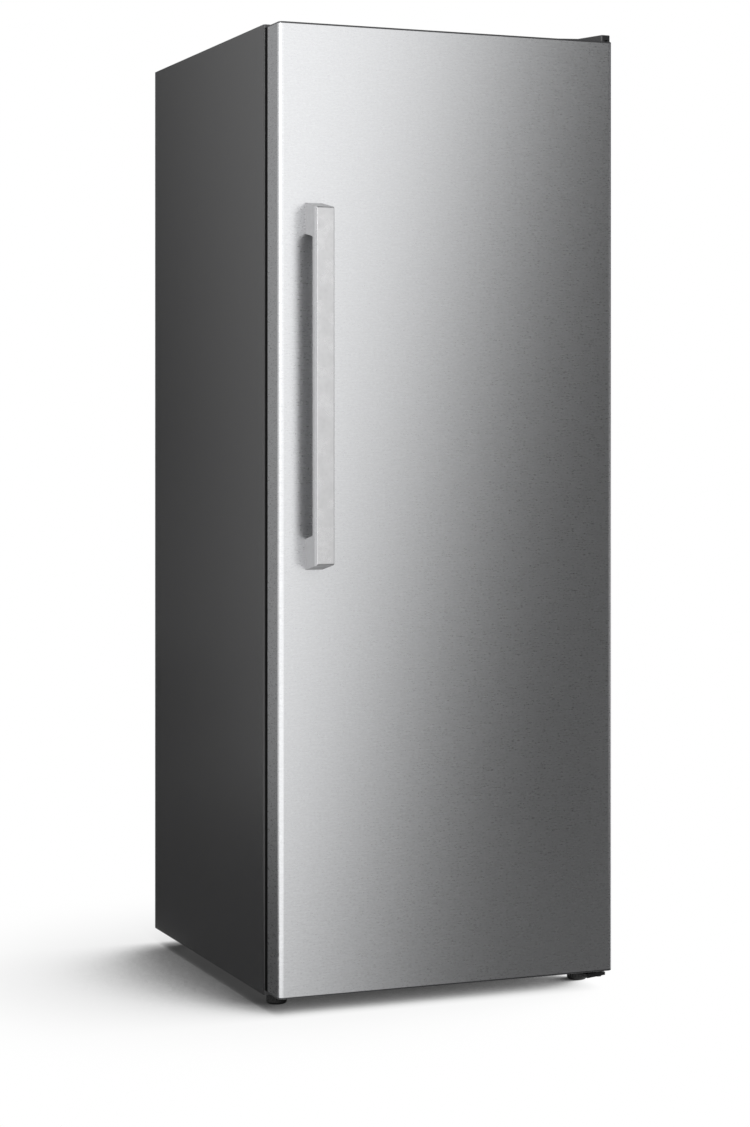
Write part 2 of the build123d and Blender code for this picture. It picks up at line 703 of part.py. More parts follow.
def make_base_pan():
    """Folded sheet: cabinet bottom, front wall and ceiling of the compressor bay."""
    start = FRONT + RAIL_DEPTH
    with BuildPart() as pan:
        block(-INSIDE, INSIDE, start, BAY_FRONT, CABINET_BOTTOM, CABINET_BOTTOM + SHEET)
        block(-INSIDE, INSIDE, start, start + SHEET, CABINET_BOTTOM, RAIL_TOP)
        block(-INSIDE, INSIDE, BAY_FRONT - SHEET, BAY_FRONT, CABINET_BOTTOM, BAY_TOP)
        block(-INSIDE, INSIDE, BAY_FRONT - SHEET, BACK, BAY_TOP - SHEET, BAY_TOP)
        block(-INSIDE, INSIDE, BAY_BACK - SHEET, BAY_BACK, BAY_TOP - COVER_FLANGE, BAY_TOP)
        for x, y, radius in (
            (DRAIN_X, COIL_MIDDLE, DRAIN_RADIUS + HOLE_ROOM),
            (LINE_X, COIL_NEAR, LINE_RADIUS + HOLE_ROOM),
            (CAPILLARY_X, COIL_NEAR, CAPILLARY_RADIUS + HOLE_ROOM),
            (TUBE_X, BACK - REAR_RUN, TUBE_RADIUS + TUBE_ROOM),
            (TUBE_X, DRYER_Y, TUBE_RADIUS + TUBE_ROOM),
        ):
            post(x, y, BAY_TOP - SHEET, BAY_TOP, radius, mode=Mode.SUBTRACT)
        for x in COVER_SCREWS_X:
            spindle(
                x,
                COVER_SCREW_HIGH,
                BAY_BACK - SHEET,
                BAY_BACK,
                SCREW_RADIUS + SCREW_ROOM,
                mode=Mode.SUBTRACT,
            )
    save(pan, "base_pan")


def make_front_rail():
    """Channel under the door that carries the front feet and the lower hinge."""
    with BuildPart() as rail:
        block(-LIP_X, LIP_X, FRONT, FRONT + RAIL_SHEET, CABINET_BOTTOM, RAIL_TOP)
        start = FRONT + EDGE_RADIUS
        end = FRONT + RAIL_DEPTH
        block(-LIP_X, LIP_X, FRONT, end, CABINET_BOTTOM, CABINET_BOTTOM + RAIL_SHEET)
        block(-INSIDE, INSIDE, start, end, CABINET_BOTTOM, CABINET_BOTTOM + RAIL_SHEET)
        block(-LIP_X, LIP_X, FRONT, end, RAIL_TOP - RAIL_SHEET, RAIL_TOP)
        for x, y in FOOT_PLACES.values():
            nut_top = CABINET_BOTTOM + RAIL_SHEET + NUT_HEIGHT
            post(x, y, CABINET_BOTTOM, nut_top, NUT_RADIUS)
            post(x, y, CABINET_BOTTOM, nut_top, STUD_RADIUS + RUNNING, mode=Mode.SUBTRACT)
        for x, y in HINGE_SCREWS:
            post(
                x,
                y,
                CABINET_BOTTOM,
                CABINET_BOTTOM + RAIL_SHEET,
                SCREW_RADIUS + SCREW_ROOM,
                mode=Mode.SUBTRACT,
            )
    save(rail, "front_rail")


# ---- shelves and bin -------------------------------------------------------------------
def make_shelves():
    """Coated wire shelves: a rounded frame, two cross bars and front-to-back wires."""
    middle_y = (SHELF_FRONT + SHELF_BACK) / 2
    half_depth = (SHELF_BACK - SHELF_FRONT) / 2 - SHELF_FRAME
    half_width = SHELF_HALF - SHELF_FRAME
    step = 2 * half_width / (SHELF_WIRES + 1)
    for i, z in enumerate(SHELF_HEIGHTS):
        with BuildPart() as shelf:
            with BuildSketch(Plane.XY.offset(z), mode=Mode.PRIVATE) as outline:
                with Locations((0, middle_y)):
                    RectangleRounded(2 * half_width, 2 * half_depth, SHELF_CORNER)
            path = outline.sketch.wire()
            with BuildSketch(Plane(origin=path @ 0, z_dir=path % 0), mode=Mode.PRIVATE) as section:
                Circle(SHELF_FRAME)
            sweep(section.sketch, path=path)
            for y in (middle_y - half_depth / 3, middle_y + half_depth / 3):
                with Locations(Location((0, y, z - SHELF_WELD), (0, 90, 0))):
                    Cylinder(SHELF_BAR, 2 * half_width)
            for k in range(SHELF_WIRES):
                spindle(
                    -half_width + (k + 1) * step,
                    z + SHELF_FRAME - SHELF_WELD,
                    middle_y - half_depth,
                    middle_y + half_depth,
                    SHELF_WIRE,
                )
        save(shelf, f"wire_shelf_{i + 1}")


def make_shelf_clips():
    """Four small brackets under each shelf, fixed to the liner's side walls."""
    low_reach = SHELF_SIDE_GAP + 2 * SHELF_FRAME + CLIP_REACH
    high_reach = SHELF_SIDE_GAP - CLIP_SIDE_GAP
    half = CLIP_LENGTH / 2
    with BuildPart() as clips:
        for z in SHELF_HEIGHTS:
            top = z - SHELF_FRAME - CLIP_GAP
            for side in (-1, 1):
                low_x = sorted((side * (CAVITY_X - low_reach), side * CAVITY_X))
                high_x = sorted((side * (CAVITY_X - high_reach), side * CAVITY_X))
                for y in (SHELF_FRONT + CLIP_INSET, SHELF_BACK - CLIP_INSET):
                    block(*low_x, y - half, y + half, top - CLIP_HEIGHT, top)
                    block(*high_x, y - half, y + half, top, top + CLIP_WALL)
    save(clips, "shelf_clips")


def make_bin():
    """Moulded bin on the cabinet floor in front of the compressor hump."""
    half = CAVITY_X - BIN_SIDE_GAP
    y0 = SHELF_FRONT + BIN_FRONT_GAP
    y1 = HUMP_FRONT - BIN_REAR_GAP
    inside = (-half + BIN_WALL, half - BIN_WALL, y0 + BIN_WALL, y1 - BIN_WALL)
    rim = (-half - BIN_RIM, half + BIN_RIM, y0 - BIN_RIM, y1 + BIN_RIM)
    with BuildPart() as bin_part:
        rounded_block(-half, half, y0, y1, CAVITY_LOW, BIN_TOP, BIN_RADIUS)
        rounded_block(*rim, BIN_TOP - BIN_RIM_HEIGHT, BIN_TOP, BIN_RADIUS + BIN_RIM)
        rounded_block(*inside, CAVITY_LOW + BIN_WALL, BIN_TOP, BIN_RADIUS - BIN_WALL, mode=Mode.SUBTRACT)
        with BuildSketch(Plane.XZ.offset(-y0 - 2 * BIN_WALL)):
            with Locations((0, (CAVITY_LOW + BIN_TOP) / 2)):
                with GridLocations(BIN_SLOT_PITCH, BIN_SLOT_ROWS, BIN_SLOT_COUNT, 2):
                    SlotOverall(BIN_SLOT, BIN_SLOT_WIDTH, rotation=90)
        extrude(amount=3 * BIN_WALL, mode=Mode.SUBTRACT)
    save(bin_part, "freezer_bin")


# ---- cold-air duct, coil and fan -------------------------------------------------------
def make_duct_cover():
    """White cover over the coil and fan, with air slots and a shroud round the fan."""
    half = DUCT_HALF
    low = HUMP_TOP
    high = CAVITY_HIGH - DUCT_TOP_GAP
    inner_front = DUCT_FRONT + DUCT_SHEET
    ring = FAN_RADIUS + SHROUD_GAP
    with BuildPart() as cover:
        block(-half, half, DUCT_FRONT, CAVITY_BACK, low, high)
        fillet(front_edges(cover, DUCT_FRONT), DUCT_RADIUS)
        block(
            -half + DUCT_SHEET,
            half - DUCT_SHEET,
            inner_front,
            CAVITY_BACK,
            low,
            high - DUCT_SHEET,
            mode=Mode.SUBTRACT,
        )
        spindle(0, FAN_HEIGHT, inner_front, DUCT_FRONT + SHROUD_DEPTH, ring + SHROUD_WALL)
        spindle(0, FAN_HEIGHT, inner_front, DUCT_FRONT + SHROUD_DEPTH, ring, mode=Mode.SUBTRACT)
        with BuildSketch(Plane.XZ.offset(-inner_front)):
            for shelf_z in SHELF_HEIGHTS[2:]:
                with Locations((0, shelf_z + SHELF_STEP - AIR_SLOT_DROP)):
                    with GridLocations(AIR_SLOT_PITCH, AIR_SLOT_ROWS, 3, 2):
                        SlotOverall(AIR_SLOT, AIR_SLOT_WIDTH)
            with Locations((0, SHELF_HEIGHTS[2] - AIR_SLOT_DROP)):
                with GridLocations(2 * AIR_SLOT_SIDE, AIR_SLOT_ROWS, 2, 2):
                    SlotOverall(AIR_SLOT, AIR_SLOT_WIDTH)
            for row in range(-GRILLE_ROWS, GRILLE_ROWS + 1):
                rise = row * GRILLE_PITCH
                with Locations((0, FAN_HEIGHT + rise)):
                    SlotOverall(2 * (FAN_RADIUS**2 - rise**2) ** 0.5, GRILLE_SLOT)
            with Locations((0, low + INTAKE_RISE)):
                with GridLocations(INTAKE_PITCH, 0, INTAKE_COUNT, 1):
                    SlotOverall(INTAKE_SLOT, INTAKE_WIDTH, rotation=90)
        extrude(amount=DUCT_SHEET, mode=Mode.SUBTRACT)
    save(cover, "duct_cover")


def coil_points():
    """The serpentine through the fins, from the bottom left end to the top left end."""
    reach = COIL_HALF + COIL_TURN
    points = [(COIL_END, COIL_NEAR, COIL_BOTTOM)]
    near = True
    for row in range(COIL_ROWS):
        z = COIL_BOTTOM + row * COIL_PITCH
        first, second = (COIL_NEAR, COIL_FAR) if near else (COIL_FAR, COIL_NEAR)
        if row:
            points.append((-reach, first, z))
        points += [(reach, first, z), (reach, second, z)]
        if row < COIL_ROWS - 1:
            points.append((-reach, second, z))
        near = not near
    points += [(LINE_X, COIL_NEAR, COIL_TOP), (LINE_X, COIL_NEAR, COIL_TOP - COIL_DROP)]
    return points


def make_evaporator():
    """Aluminium coil tube and its pressed fins."""
    points = coil_points()
    with BuildPart() as coil:
        tube(points, [COIL_BEND] * (len(points) - 2), COIL_TUBE)
    save(coil, "evaporator_tube")

    height = COIL_TOP - COIL_BOTTOM + 2 * FIN_MARGIN
    step = 2 * COIL_HALF / (FIN_COUNT + 1)
    with BuildPart() as fins:
        for i in range(FIN_COUNT):
            x = -COIL_HALF + (i + 1) * step
            is_end_plate = i in (0, FIN_COUNT - 1)
            fin_back = CAVITY_BACK if is_end_plate else COIL_MIDDLE + COIL_COLUMN
            fin_depth = fin_back - COIL_MIDDLE + COIL_COLUMN
            with BuildSketch(Plane.YZ.offset(x - FIN_SHEET / 2)):
                with Locations((fin_back - fin_depth / 2, (COIL_BOTTOM + COIL_TOP) / 2)):
                    Rectangle(fin_depth, height)
                with Locations((COIL_MIDDLE, (COIL_BOTTOM + COIL_TOP) / 2)):
                    with GridLocations(COIL_COLUMN, COIL_PITCH, 2, COIL_ROWS):
                        Circle(COIL_TUBE + RUNNING, mode=Mode.SUBTRACT)
            extrude(amount=FIN_SHEET)
    save(fins, "evaporator_fins")


def make_heater_and_drain():
    """Defrost heater under the fins, and the trough that leads meltwater to the bay."""
    heater_z = COIL_BOTTOM - HEATER_DROP
    with BuildPart() as heater:
        tube(
            [
                (-COIL_HALF, COIL_NEAR, heater_z),
                (COIL_HALF, COIL_NEAR, heater_z),
                (COIL_HALF, COIL_FAR, heater_z),
                (-COIL_HALF, COIL_FAR, heater_z),
            ],
            [HEATER_BEND, HEATER_BEND],
            HEATER_RADIUS,
        )
        for x in (-COIL_HALF + HEATER_FOOT_INSET, COIL_HALF - HEATER_FOOT_INSET):
            block(
                x - HEATER_FOOT,
                x + HEATER_FOOT,
                COIL_NEAR - HEATER_FOOT_REACH,
                COIL_FAR + HEATER_FOOT_REACH,
                HUMP_TOP + LINER,
                heater_z - HEATER_SINK,
            )
    save(heater, "defrost_heater")

    half = COIL_HALF + TROUGH_SIDE
    inner = half - TROUGH_WALL
    y0 = DUCT_FRONT + DUCT_SHEET + TROUGH_GAP
    y1 = CAVITY_BACK - TROUGH_GAP
    low = HUMP_TOP + LINER
    rim = HUMP_TOP + TROUGH_RIM
    tail = COMPRESSOR_TOP + DRAIN_TAIL
    with BuildPart() as trough:
        block(-half, half, y0, y1, HUMP_TOP, rim)
        block(-inner, inner, y0 + TROUGH_WALL, y1 - TROUGH_WALL, low, rim, mode=Mode.SUBTRACT)
        post(DRAIN_X, COIL_MIDDLE, tail, low, DRAIN_RADIUS)
        post(DRAIN_X, COIL_MIDDLE, tail, low, DRAIN_RADIUS - TROUGH_WALL, mode=Mode.SUBTRACT)
    save(trough, "drain_trough")


def make_fan():
    """Evaporator fan: motor on the liner's rear wall, and the blade on its shaft."""
    motor_front = CAVITY_BACK - MOTOR_FRONT
    motor_rear = CAVITY_BACK - MOTOR_REAR
    low = FAN_HEIGHT - MOTOR_STRAP_HALF
    high = FAN_HEIGHT + MOTOR_STRAP_HALF
    with BuildPart() as motor:
        spindle(0, FAN_HEIGHT, motor_front, motor_rear, MOTOR_RADIUS)
        block(-MOTOR_STRAP, MOTOR_STRAP, motor_rear, CAVITY_BACK, low, high)
        spindle(0, FAN_HEIGHT, HUB_FRONT, motor_front, FAN_SHAFT)
    save(motor, "fan_motor")

    with BuildPart() as blade:
        spindle(0, FAN_HEIGHT, HUB_FRONT - FAN_HUB_CAP, HUB_BACK, FAN_HUB)
        for k in range(FAN_BLADES):
            turn = radians(360 / FAN_BLADES * k)
            outward = Vector(sin(turn), 0, cos(turn))
            root = Vector(0, (HUB_FRONT + HUB_BACK) / 2, FAN_HEIGHT) + outward * FAN_BLADE_ROOT
            with BuildSketch(Plane(origin=root, x_dir=(cos(turn), 0, -sin(turn)), z_dir=outward)):
                Rectangle(FAN_BLADE_CHORD, FAN_BLADE_SHEET, rotation=FAN_BLADE_TILT)
            extrude(amount=FAN_RADIUS - FAN_HUB)
        spindle(0, FAN_HEIGHT, HUB_FRONT, HUB_BACK, FAN_SHAFT + RUNNING, mode=Mode.SUBTRACT)
    save(blade, "fan_blade")


# ---- controls and lamp -----------------------------------------------------------------
def make_controls():
    """Housing on the cabinet's ceiling with the temperature dial and the fast-freeze button."""
    wall = CONTROL_WALL
    inner = CONTROL_HALF - wall
    y1 = CONTROL_FACE + CONTROL_DEPTH
    inner_face = CONTROL_FACE + wall
    lens_y0 = CONTROL_FACE + LENS_START
    lens_y1 = lens_y0 + LENS_DEPTH
    hole_x = BUTTON_WIDTH / 2 + BUTTON_ROOM
    hole_z = BUTTON_HEIGHT / 2 + BUTTON_ROOM
    with BuildPart() as housing:
        block(-CONTROL_HALF, CONTROL_HALF, CONTROL_FACE, y1, CONTROL_LOW, CAVITY_HIGH)
        low_edges = housing.edges().filter_by(Axis.X).group_by(Axis.Z)[0]
        fillet(low_edges, CONTROL_EDGE)
        block(-inner, inner, inner_face, y1 - wall, CONTROL_LOW + wall, CAVITY_HIGH, mode=Mode.SUBTRACT)
        block(
            BUTTON_X - hole_x,
            BUTTON_X + hole_x,
            CONTROL_FACE,
            inner_face,
            CONTROL_MIDDLE - hole_z,
            CONTROL_MIDDLE + hole_z,
            mode=Mode.SUBTRACT,
        )
        spindle(
            DIAL_X,
            CONTROL_MIDDLE,
            CONTROL_FACE,
            inner_face,
            DIAL_SHAFT + RUNNING,
            mode=Mode.SUBTRACT,
        )
        block(
            -LENS_HALF,
            LENS_HALF,
            lens_y0,
            lens_y1,
            CONTROL_LOW,
            CONTROL_LOW + wall,
            mode=Mode.SUBTRACT,
        )
    save(housing, "control_housing")

    dial_back = CONTROL_FACE - DIAL_GAP
    dial_front = dial_back - DIAL_DEPTH
    with BuildPart() as dial:
        spindle(DIAL_X, CONTROL_MIDDLE, dial_front, dial_back, DIAL_RADIUS)
        fillet(dial.edges().group_by(Axis.Y)[0], DIAL_EDGE)
        block(
            DIAL_X - DIAL_GRIP_HALF,
            DIAL_X + DIAL_GRIP_HALF,
            dial_front - DIAL_GRIP_STANDS,
            dial_front + DIAL_EDGE,
            CONTROL_MIDDLE - DIAL_GRIP,
            CONTROL_MIDDLE + DIAL_GRIP,
        )
        spindle(DIAL_X, CONTROL_MIDDLE, dial_back, CONTROL_FACE + DIAL_SHAFT_LENGTH, DIAL_SHAFT)
    save(dial, "thermostat_dial")

    half_x = BUTTON_WIDTH / 2
    half_z = BUTTON_HEIGHT / 2
    with BuildPart() as button:
        block(
            BUTTON_X - half_x,
            BUTTON_X + half_x,
            CONTROL_FACE - BUTTON_STANDS,
            CONTROL_FACE + BUTTON_DEPTH,
            CONTROL_MIDDLE - half_z,
            CONTROL_MIDDLE + half_z,
        )
        fillet(button.edges().group_by(Axis.Y)[0], BUTTON_EDGE)
        block(
            BUTTON_X - half_x - BUTTON_LIP,
            BUTTON_X + half_x + BUTTON_LIP,
            inner_face + BUTTON_STOP,
            CONTROL_FACE + BUTTON_DEPTH,
            CONTROL_MIDDLE - half_z - BUTTON_LIP,
            CONTROL_MIDDLE + half_z + BUTTON_LIP,
        )
    save(button, "fast_freeze_button")

    with BuildPart() as lens:
        lens_low = CONTROL_LOW - LENS_BULGE
        lens_top = CONTROL_LOW + wall
        block(-LENS_HALF, LENS_HALF, lens_y0, lens_y1, lens_low, lens_top)
        fillet(lens.edges().group_by(Axis.Z)[0], LENS_EDGE)
        block(
            -LENS_HALF - LENS_LIP,
            LENS_HALF + LENS_LIP,
            lens_y0 - LENS_LIP,
            lens_y1 + LENS_LIP,
            lens_top,
            lens_top + LENS_SHEET,
        )
    save(lens, "lamp_lens")


# ---- compressor bay --------------------------------------------------------------------
def make_bay_plate():
    """Steel floor of the bay with an upturned rear edge."""
    lip_front = BAY_BACK - BAY_PLATE
    with BuildPart() as plate:
        block(-INSIDE, INSIDE, BAY_FRONT, BAY_BACK, BAY_FLOOR, BAY_FLOOR + BAY_PLATE)
        block(-INSIDE, INSIDE, lip_front, BAY_BACK, BAY_FLOOR, BAY_FLOOR + BAY_LIP)
        for x in COVER_SCREWS_X:
            spindle(x, COVER_SCREW_LOW, lip_front, BAY_BACK, SCREW_RADIUS + SCREW_ROOM, mode=Mode.SUBTRACT)
    save(plate, "compressor_plate")


def oval(z, height, grow):
    """The compressor's oval outline, grown all round, from z up."""
    with BuildSketch(Plane.XY.offset(z)) as outline:
        with Locations((COMPRESSOR_X, COMPRESSOR_Y)):
            Ellipse(COMPRESSOR_LONG + grow, COMPRESSOR_SHORT + grow)
    extrude(outline.sketch, amount=height)


def make_compressor():
    """Sealed compressor shell with its seam, stubs and foot plate, on four grommets."""
    stub_start = COMPRESSOR_X - STUB_ROOT
    with BuildPart() as compressor:
        oval(COMPRESSOR_BODY, COMPRESSOR_HIGH, 0)
        fillet(compressor.edges().group_by(Axis.Z)[-1], COMPRESSOR_DOME)
        fillet(compressor.edges().group_by(Axis.Z)[0], COMPRESSOR_SKIRT)
        oval(COMPRESSOR_BODY + SEAM_RISE, SEAM_HEIGHT, SEAM_REACH)
        rounded_block(
            COMPRESSOR_X - COMPRESSOR_LONG - FOOT_PLATE_LONG,
            COMPRESSOR_X + COMPRESSOR_LONG + FOOT_PLATE_LONG,
            COMPRESSOR_Y - COMPRESSOR_SHORT - FOOT_PLATE_SHORT,
            COMPRESSOR_Y + COMPRESSOR_SHORT + FOOT_PLATE_SHORT,
            COMPRESSOR_LOW,
            COMPRESSOR_BODY,
            FOOT_PLATE_CORNER,
        )
        spindle(COMPRESSOR_X, DISCHARGE_Z, COMPRESSOR_Y + STUB_ROOT, DISCHARGE_Y, TUBE_RADIUS + STUB_WALL)
        with Locations(Location(((SUCTION_X + stub_start) / 2, COIL_NEAR, SUCTION_Z), (0, 90, 0))):
            Cylinder(LINE_RADIUS + STUB_WALL, stub_start - SUCTION_X)
        for x, y in COMPRESSOR_FEET:
            post(x, y, COMPRESSOR_LOW, COMPRESSOR_BODY, GROMMET_HOLE, mode=Mode.SUBTRACT)
    save(compressor, "compressor")

    with BuildPart() as grommets:
        for x, y in COMPRESSOR_FEET:
            post(x, y, BAY_FLOOR + BAY_PLATE, COMPRESSOR_LOW, GROMMET_RADIUS)
            post(x, y, COMPRESSOR_LOW, COMPRESSOR_LOW + GROMMET_NECK_RISE, GROMMET_NECK)
    save(grommets, "compressor_grommets")

    x0 = COMPRESSOR_X + COMPRESSOR_LONG - TERMINAL_SINK
    with BuildPart() as terminal:
        block(
            x0,
            x0 + TERMINAL_LENGTH,
            COMPRESSOR_Y - TERMINAL_HALF,
            COMPRESSOR_Y + TERMINAL_HALF,
            COMPRESSOR_BODY + TERMINAL_LOW,
            COMPRESSOR_BODY + TERMINAL_HIGH,
        )
        fillet(terminal.faces().sort_by(Axis.X)[-1].edges(), TERMINAL_EDGE)
        add(compressor.part, mode=Mode.SUBTRACT)
    save(terminal, "terminal_cover")

    with BuildPart() as pan:
        rounded_block(
            COMPRESSOR_X - PAN_LONG,
            COMPRESSOR_X + PAN_LONG,
            COMPRESSOR_Y - PAN_SHORT,
            COMPRESSOR_Y + PAN_SHORT,
            COMPRESSOR_TOP,
            COMPRESSOR_TOP + PAN_HEIGHT,
            PAN_RADIUS,
        )
        offset(amount=-LINER, openings=pan.faces().sort_by(Axis.Z)[-1])
    save(pan, "drip_pan")


def make_lines():
    """Filter dryer, capillary and suction line."""
    with BuildPart() as dryer:
        for half, radius in ((DRYER_HALF, DRYER_RADIUS), (DRYER_NECK_HALF, DRYER_NECK)):
            with Locations(Location((DRYER_X, DRYER_Y, DRYER_Z), (0, 90, 0))):
                Cylinder(radius, 2 * half)
    save(dryer, "filter_dryer")

    with BuildPart() as capillary:
        tube(
            [
                (DRYER_X - DRYER_NECK_HALF, DRYER_Y, DRYER_Z),
                (CAPILLARY_X, DRYER_Y, DRYER_Z),
                (CAPILLARY_X, COIL_NEAR, DRYER_Z),
                (CAPILLARY_X, COIL_NEAR, COIL_BOTTOM),
                (COIL_END, COIL_NEAR, COIL_BOTTOM),
            ],
            [CAPILLARY_BEND, CAPILLARY_BEND, CAPILLARY_END_BEND],
            CAPILLARY_RADIUS,
        )
    save(capillary, "capillary_tube")

    with BuildPart() as suction:
        tube(
            [
                (LINE_X, COIL_NEAR, COIL_TOP - COIL_DROP),
                (LINE_X, COIL_NEAR, SUCTION_Z),
                (SUCTION_X, COIL_NEAR, SUCTION_Z),
            ],
            [LINE_BEND],
            LINE_RADIUS,
        )
    save(suction, "suction_line")


def make_rear_cover():
    """Louvred cover behind the compressor, its screws and the cord gland."""
    face = BAY_BACK + SHEET
    edge = INSIDE - COVER_SIDE_GAP
    gland = (-SIDE + GLAND_INSET, BAY_FLOOR + GLAND_INSET)
    screws_at = [(x, z) for x in COVER_SCREWS_X for z in (COVER_SCREW_LOW, COVER_SCREW_HIGH)]
    with BuildPart() as cover:
        block(-edge, edge, BAY_BACK, face, BAY_FLOOR, BAY_TOP - SHEET)
        with BuildSketch(Plane.XZ.offset(-face)):
            with Locations((0, BAY_FLOOR + LOUVRE_RISE)):
                with GridLocations(LOUVRE_PITCH, LOUVRE_ROWS, LOUVRE_COLUMN_COUNT, LOUVRE_ROW_COUNT):
                    SlotOverall(LOUVRE, LOUVRE_WIDTH)
        extrude(amount=SHEET, mode=Mode.SUBTRACT)
        spindle(*gland, BAY_BACK, face, GLAND_HOLE, mode=Mode.SUBTRACT)
        for x, z in screws_at:
            spindle(x, z, BAY_BACK, face, SCREW_RADIUS + SCREW_ROOM, mode=Mode.SUBTRACT)
    save(cover, "rear_cover")

    with BuildPart() as screws:
        for x, z in screws_at:
            spindle(x, z, BAY_BACK - COVER_SCREW_LENGTH, face, SCREW_RADIUS)
            spindle(x, z, face, face + COVER_SCREW_HEAD, SCREW_HEAD)
    save(screws, "cover_screws")

    with BuildPart() as gland_part:
        spindle(*gland, BAY_BACK - GLAND_DEPTH, face, GLAND_RADIUS)
        spindle(*gland, face, BACK, GLAND_FLANGE)
        spindle(*gland, BAY_BACK - GLAND_DEPTH, BACK, GLAND_BORE, mode=Mode.SUBTRACT)
    save(gland_part, "cord_gland")


# ---- rollers and feet ------------------------------------------------------------------
def axle(x, half_length, radius, mode=Mode.ADD):
    """A cylinder along X, centred on a rear roller's axis at x."""
    with Locations(Location((x, ROLLER_Y, ROLLER_RADIUS), (0, 90, 0))):
        Cylinder(radius, 2 * half_length, mode=mode)


def make_rollers():
    """Two rear rollers in their brackets under the bay floor."""
    y0 = ROLLER_Y - BRACKET_HALF
    y1 = ROLLER_Y + BRACKET_HALF
    ear_inner = ROLLER_WIDTH / 2 + ROLLER_GAP
    ear_outer = ear_inner + BRACKET_SHEET
    with BuildPart() as brackets:
        for x in ROLLER_PLACES.values():
            block(x - ear_outer, x + ear_outer, y0, y1, ROLLER_RADIUS - BRACKET_DROP, BAY_FLOOR)
            block(
                x - ear_inner,
                x + ear_inner,
                y0,
                y1,
                ROLLER_RADIUS - BRACKET_DROP,
                BAY_FLOOR - BRACKET_SHEET,
                mode=Mode.SUBTRACT,
            )
            axle(x, ear_outer, AXLE_RADIUS + AXLE_SEAT, mode=Mode.SUBTRACT)
    save(brackets, "roller_brackets")

    with BuildPart() as axles:
        for x in ROLLER_PLACES.values():
            axle(x, ear_outer + AXLE_HEAD, AXLE_RADIUS + AXLE_HEAD)
            for side in (-1, 1):
                edge = sorted((x + side * ear_outer, x))
                block(*edge, y0, y1, ROLLER_RADIUS - BRACKET_HALF, BAY_FLOOR, mode=Mode.SUBTRACT)
            axle(x, ear_outer, AXLE_RADIUS)
    save(axles, "roller_axles")

    for label, x in ROLLER_PLACES.items():
        with BuildPart() as roller:
            axle(x, ROLLER_WIDTH / 2, ROLLER_RADIUS)
            chamfer(roller.edges().filter_by(GeomType.CIRCLE), ROLLER_EDGE)
            axle(x, ROLLER_WIDTH / 2, AXLE_RADIUS + RUNNING, mode=Mode.SUBTRACT)
        save(roller, label)


def make_feet():
    """Front levelling feet: fluted pad, turned by hand, and threaded stud."""
    for label, (x, y) in FOOT_PLACES.items():
        with BuildPart() as foot:
            post(x, y, 0, FOOT_HEIGHT, FOOT_RADIUS)
            fillet(foot.edges().group_by(Axis.Z)[0], FOOT_EDGE)
            fillet(foot.edges().group_by(Axis.Z)[-1], FOOT_TOP_EDGE)
            with Locations((x, y, FLUTE_START + FOOT_HEIGHT / 2)):
                with PolarLocations(FOOT_RADIUS + FLUTE_OUT, FOOT_FLUTES):
                    Cylinder(FLUTE_RADIUS, FOOT_HEIGHT, mode=Mode.SUBTRACT)
            post(x, y, FOOT_HEIGHT, STUD_TOP, STUD_RADIUS)
            chamfer(foot.edges().group_by(Axis.Z)[-1], STUD_EDGE)
        save(foot, label)


# ---- hinges ----------------------------------------------------------------------------
def hinge_plate(inset, tongue, shoulder, z, sheet):
    """A hinge plate with a tongue that reaches the pin, bored for its screws."""
    tongue_y = PIN_Y - HINGE_FRONT
    shoulder_y = FRONT + HINGE_SHOULDER_SETBACK
    with BuildSketch(Plane.XY.offset(z)) as outline:
        with BuildLine():
            Polyline(
                (SIDE - inset, FRONT + HINGE_REACH),
                (SIDE - inset, tongue_y),
                (SIDE - tongue, tongue_y),
                (SIDE - shoulder, shoulder_y),
                (SIDE - HINGE_SPAN, shoulder_y),
                (SIDE - HINGE_SPAN, FRONT + HINGE_REACH),
                close=True,
            )
        make_face()
        fillet(outline.vertices(), HINGE_CORNER)
        for x, y in HINGE_SCREWS:
            with Locations((x, y)):
                Circle(SCREW_RADIUS + SCREW_ROOM, mode=Mode.SUBTRACT)
    extrude(outline.sketch, amount=sheet)


